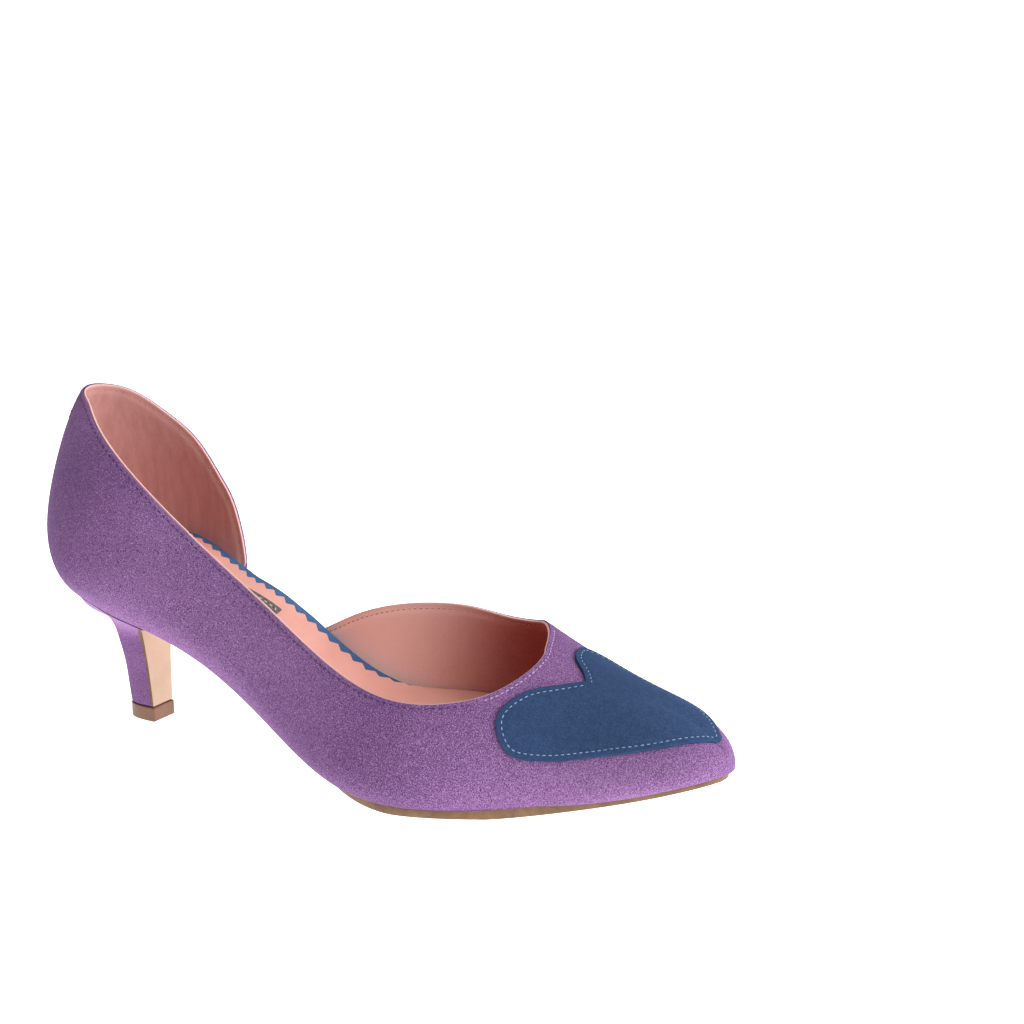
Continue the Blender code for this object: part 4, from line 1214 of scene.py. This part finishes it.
def makeSeamShadow():  # a dark cord painted in as the shadow line between heel and upper
    look = heelLook["seam"]
    outer, inner = last.find(-1, 0, look["end"]), last.find(1, 0, look["end"]) - last.round
    u = np.linspace(outer, inner, look["points"])
    foot = np.full(len(u), footAngle)
    line = last.wall(u, foot)
    line[:, 2] += hemLift(line[:, 0], 0.0)
    turn = np.linspace(0.0, 2 * math.pi, look["turns"])[None, :, None]
    cord = last.normals(u, foot)[:, None] * np.cos(turn) + np.array([0.0, 0.0, 1.0]) * np.sin(turn)
    width = look["thin"] + (look["radius"] - look["thin"]) * within(line[:, 0], *look["fade"])
    piece = addSheet("heelSeam", line[:, None] + cord * width[:, None, None])
    editAll(facesOut)
    finishPiece(piece, seamThread)


def makeTopLift():
    back, front, half, middle = heelLook["slices"][-1][2:]
    over = liftSize["overhang"]
    front = front + soleSize["flap"] + soleSize["breastGap"] + over
    heights = np.linspace(0.0, liftSize["height"], liftSize["rows"])
    piece = addLoft("topLift", [heelRing(back - over, front, half + over, middle, z) for z in heights])
    roundEdges(piece, *liftSize["edge"])
    finishPiece(piece, liftFinish, "top_lift", crispAngle)


def heelAt(columnIndex, z):
    table = heelLook["slices"][::-1]
    return np.interp(z, [row[1] for row in table], [row[columnIndex] for row in table])


def flapRings(columns):  # the sole round its bend and down the front of the heel
    flap, bend = soleSize["flap"], soleSize["bend"]
    gap = soleSize["breastGap"]
    bendX = heelLook["slices"][1][3] + gap + flap + bend
    bendZ = float(last.floor(np.array([bendX]), np.array([0.0]))[0]) - gap - flap - bend
    centre = np.array([bendX, bendZ])
    places = []
    for turn in np.radians(np.linspace(*soleSize["bendTurns"])):
        aim = np.array([-math.sin(turn), math.cos(turn)])
        places.append((centre + aim * (bend + flap), centre + aim * bend))
    for z in np.linspace(bendZ, heelLook["slices"][-1][1], soleSize["flapRows"]):
        back = heelAt(3, z) + soleSize["glue"]
        places.append((np.array([back, z]), np.array([back + flap, z])))
    rings = []
    for top, low in places:
        half = min(heelAt(4, top[1]), soleSize["flapHalf"]) - soleSize["flapGap"]
        y = heelAt(5, top[1]) + np.linspace(-half, half, columns)
        rings.append([(top[0], v, top[1]) for v in y] + [(low[0], v, low[1]) for v in y[::-1]])
    return bendX, rings


def makeSole():
    columns = soleSize["columns"]
    bendX, flap = flapRings(columns)
    u = np.linspace(0.0, last.round, roundPoints)[:-1]
    feather = last.rows(u)[:, :2]
    outer = (u > last.back) & (u < last.tip)
    table = soleSize["inset"]
    inset = np.where(outer, alongTable(table, feather[:, 0], 2), alongTable(table, feather[:, 0], 3))
    sides = twoSides(shrink(feather, inset[:, None]))
    t = (1 - np.cos(np.linspace(0.0, math.pi, soleSize["stations"]))) / 2
    x = bendX + (sides[0][-1, 0] - soleSize["tipGap"] - bendX) * t
    edges = sideWidths(sides, x)
    share = np.linspace(0.0, 1.0, columns)
    y = edges[0][:, None] + (edges[1] - edges[0])[:, None] * share
    gridX = np.repeat(x[:, None], columns, axis=1)
    full = within(x, *soleSize["thickens"]) - within(x, *soleSize["thins"])
    thickness = soleSize["flap"] + (soleSize["thickness"] - soleSize["flap"]) * full
    top = last.floor(gridX, y) - soleSize["gap"]
    low = np.maximum(top - soleSize["under"] - thickness[:, None], 0.0)
    plate = np.concatenate([np.stack([gridX, y, top], axis=-1),
                            np.stack([gridX, y, low], axis=-1)[:, ::-1]], axis=1)
    piece = addLoft("leatherSole", np.concatenate([plate[::-1], np.array(flap)]))
    roundEdges(piece, *soleSize["edge"])
    finishPiece(piece, soleLeather, "outsole", crispAngle)
    paintEdges(piece)


def paintEdges(piece):  # the cut edge of the sole is stained brown
    look = soleSize["stain"]
    forepart = toFrame((soleSize["forepart"], 0.0, 0.0))[0]
    piece.data.materials.append(edgeFinish)
    for polygon in piece.data.polygons:
        n = polygon.normal
        alongSide = abs(n.y) > look["side"] and math.hypot(n.x, n.z) < look["flat"]
        roundToe = abs(n.z) < look["steep"] and polygon.center.x > forepart
        if alongSide or roundToe:
            polygon.material_index = 1


purpleSuede = suedeFinish("purpleSuede", purpleLook)
heelSuede = suedeFinish("heelSuede", {**purpleLook, "speckle": 0.8})
blueSuede = suedeFinish("blueSuede", blueLook)
sockLeather = leatherFinish("sockLeather", sockLook)
soleLeather = leatherFinish("soleLeather", soleLook)
edgeFinish = leatherFinish("soleEdge", edgeLook)
liftFinish = leatherFinish("liftRubber", liftLook)
# shaded copy of the purple thread, used behind the throat
purpleThread = threadFinish("purpleThread", ink(52, 32, 64), ink(80, 54, 94))
# painted shadow: the colour of the cord in the joint of heel and upper
seamThread = threadFinish("seamThread", ink(84, 58, 98), ink(108, 78, 120))
# lit copy of the same purple thread, used round the throat
lilacThread = threadFinish("lilacThread", ink(176, 140, 186), ink(214, 184, 222))
blueThread = threadFinish("blueThread", ink(104, 136, 170), ink(156, 184, 210))
beigeThread = threadFinish("beigeThread", ink(168, 116, 100), ink(206, 160, 140))
creamThread = threadFinish("creamThread", ink(190, 182, 160), ink(226, 218, 196))
print("finishes mixed")

makeUpper()
makeLining()
makeHeart()
makeBackTab()
insoleEdge = insideOutline()
makeInsole(insoleEdge)
makeSock(insoleEdge)
makeLabel()
makeHeel()
makeSeamShadow()
makeTopLift()
makeSole()


# Floor, light and camera

stageLook = {
    "floor": 6.0, "floorGlow": 1.65, "floorColour": (0.35, 0.35, 0.35, 1.0), "world": 0.06,
    "white": (1.0, 1.0, 1.0, 1.0),
    "aim": (0.0, 0.0, 0.03),  # where the lamps point
}
lamps = [
    # name, place, size, watts
    ("overhead", (0.0, 0.0, 1.5), 1.6, 9.5),
    ("key", (1.3, -0.2, 0.7), 1.0, 16.0),
    ("rim", (0.9, 0.9, 0.8), 1.0, 7.5),
    ("back", (-0.9, 0.6, 1.0), 1.0, 5.5),
]
cameraLook = {
    "azimuth": 33.5, "elevation": 15.5, "roll": 1.4, "scale": 3.31, "distance": 1251.3,
    "aim": (123.0, 0.0, 40.0), "pixel": (384.0, 630.0), "picture": 1024.0, "sensor": 36.0,
}


def addFloor():
    bpy.ops.object.select_all(action="DESELECT")
    bpy.ops.mesh.primitive_plane_add(size=stageLook["floor"])
    floor = bpy.context.object
    floor.name = "paleFloor"
    board = Board("paleFloor")
    board.set(BaseColor=stageLook["floorColour"], Roughness=0.9, SpecularIORLevel=0.1,
              EmissionColor=stageLook["white"], EmissionStrength=stageLook["floorGlow"])
    floor.data.materials.append(board.material)


def addLight():
    world = bpy.data.worlds.new("softRoom")
    world.use_nodes = True
    sky = world.node_tree.nodes["Background"]
    sky.inputs["Color"].default_value = stageLook["white"]
    sky.inputs["Strength"].default_value = stageLook["world"]
    bpy.context.scene.world = world
    for name, place, size, watts in lamps:
        lamp = bpy.data.lights.new(name, "AREA")
        lamp.size = size
        lamp.energy = watts
        stand = bpy.data.objects.new(name, lamp)
        stand.location = place
        aim = Vector(stageLook["aim"]) - Vector(place)
        stand.rotation_euler = aim.to_track_quat("-Z", "Y").to_euler()
        bpy.context.scene.collection.objects.link(stand)


def addCamera():
    look = cameraLook
    turn, rise, roll = (math.radians(look[key]) for key in ("azimuth", "elevation", "roll"))
    right = np.array([math.cos(turn), math.sin(turn), 0.0])
    back = np.array([math.sin(turn) * math.cos(rise), -math.cos(turn) * math.cos(rise), math.sin(rise)])
    up = np.cross(back, right)
    half = look["picture"] / 2
    seenX, seenY = look["pixel"]
    offset = right * (seenX - half) / look["scale"] + up * (half - seenY) / look["scale"]
    place = toFrame(np.array(look["aim"]) - offset + back * look["distance"])
    rolledRight = math.cos(roll) * right - math.sin(roll) * up
    rolledUp = math.sin(roll) * right + math.cos(roll) * up
    camera = bpy.data.cameras.new("camera")
    camera.sensor_width = look["sensor"]
    camera.lens = look["sensor"] * look["scale"] * look["distance"] / look["picture"]
    camera.clip_start = 0.05
    holder = bpy.data.objects.new("camera", camera)
    axes = np.column_stack([rolledRight, rolledUp, back])
    holder.matrix_world = Matrix.Translation(place) @ Matrix(axes.tolist()).to_4x4()
    bpy.context.scene.collection.objects.link(holder)
    bpy.context.scene.camera = holder


addFloor()
addLight()
addCamera()
bpy.context.scene.view_settings.view_transform = "Standard"
print("stage set")
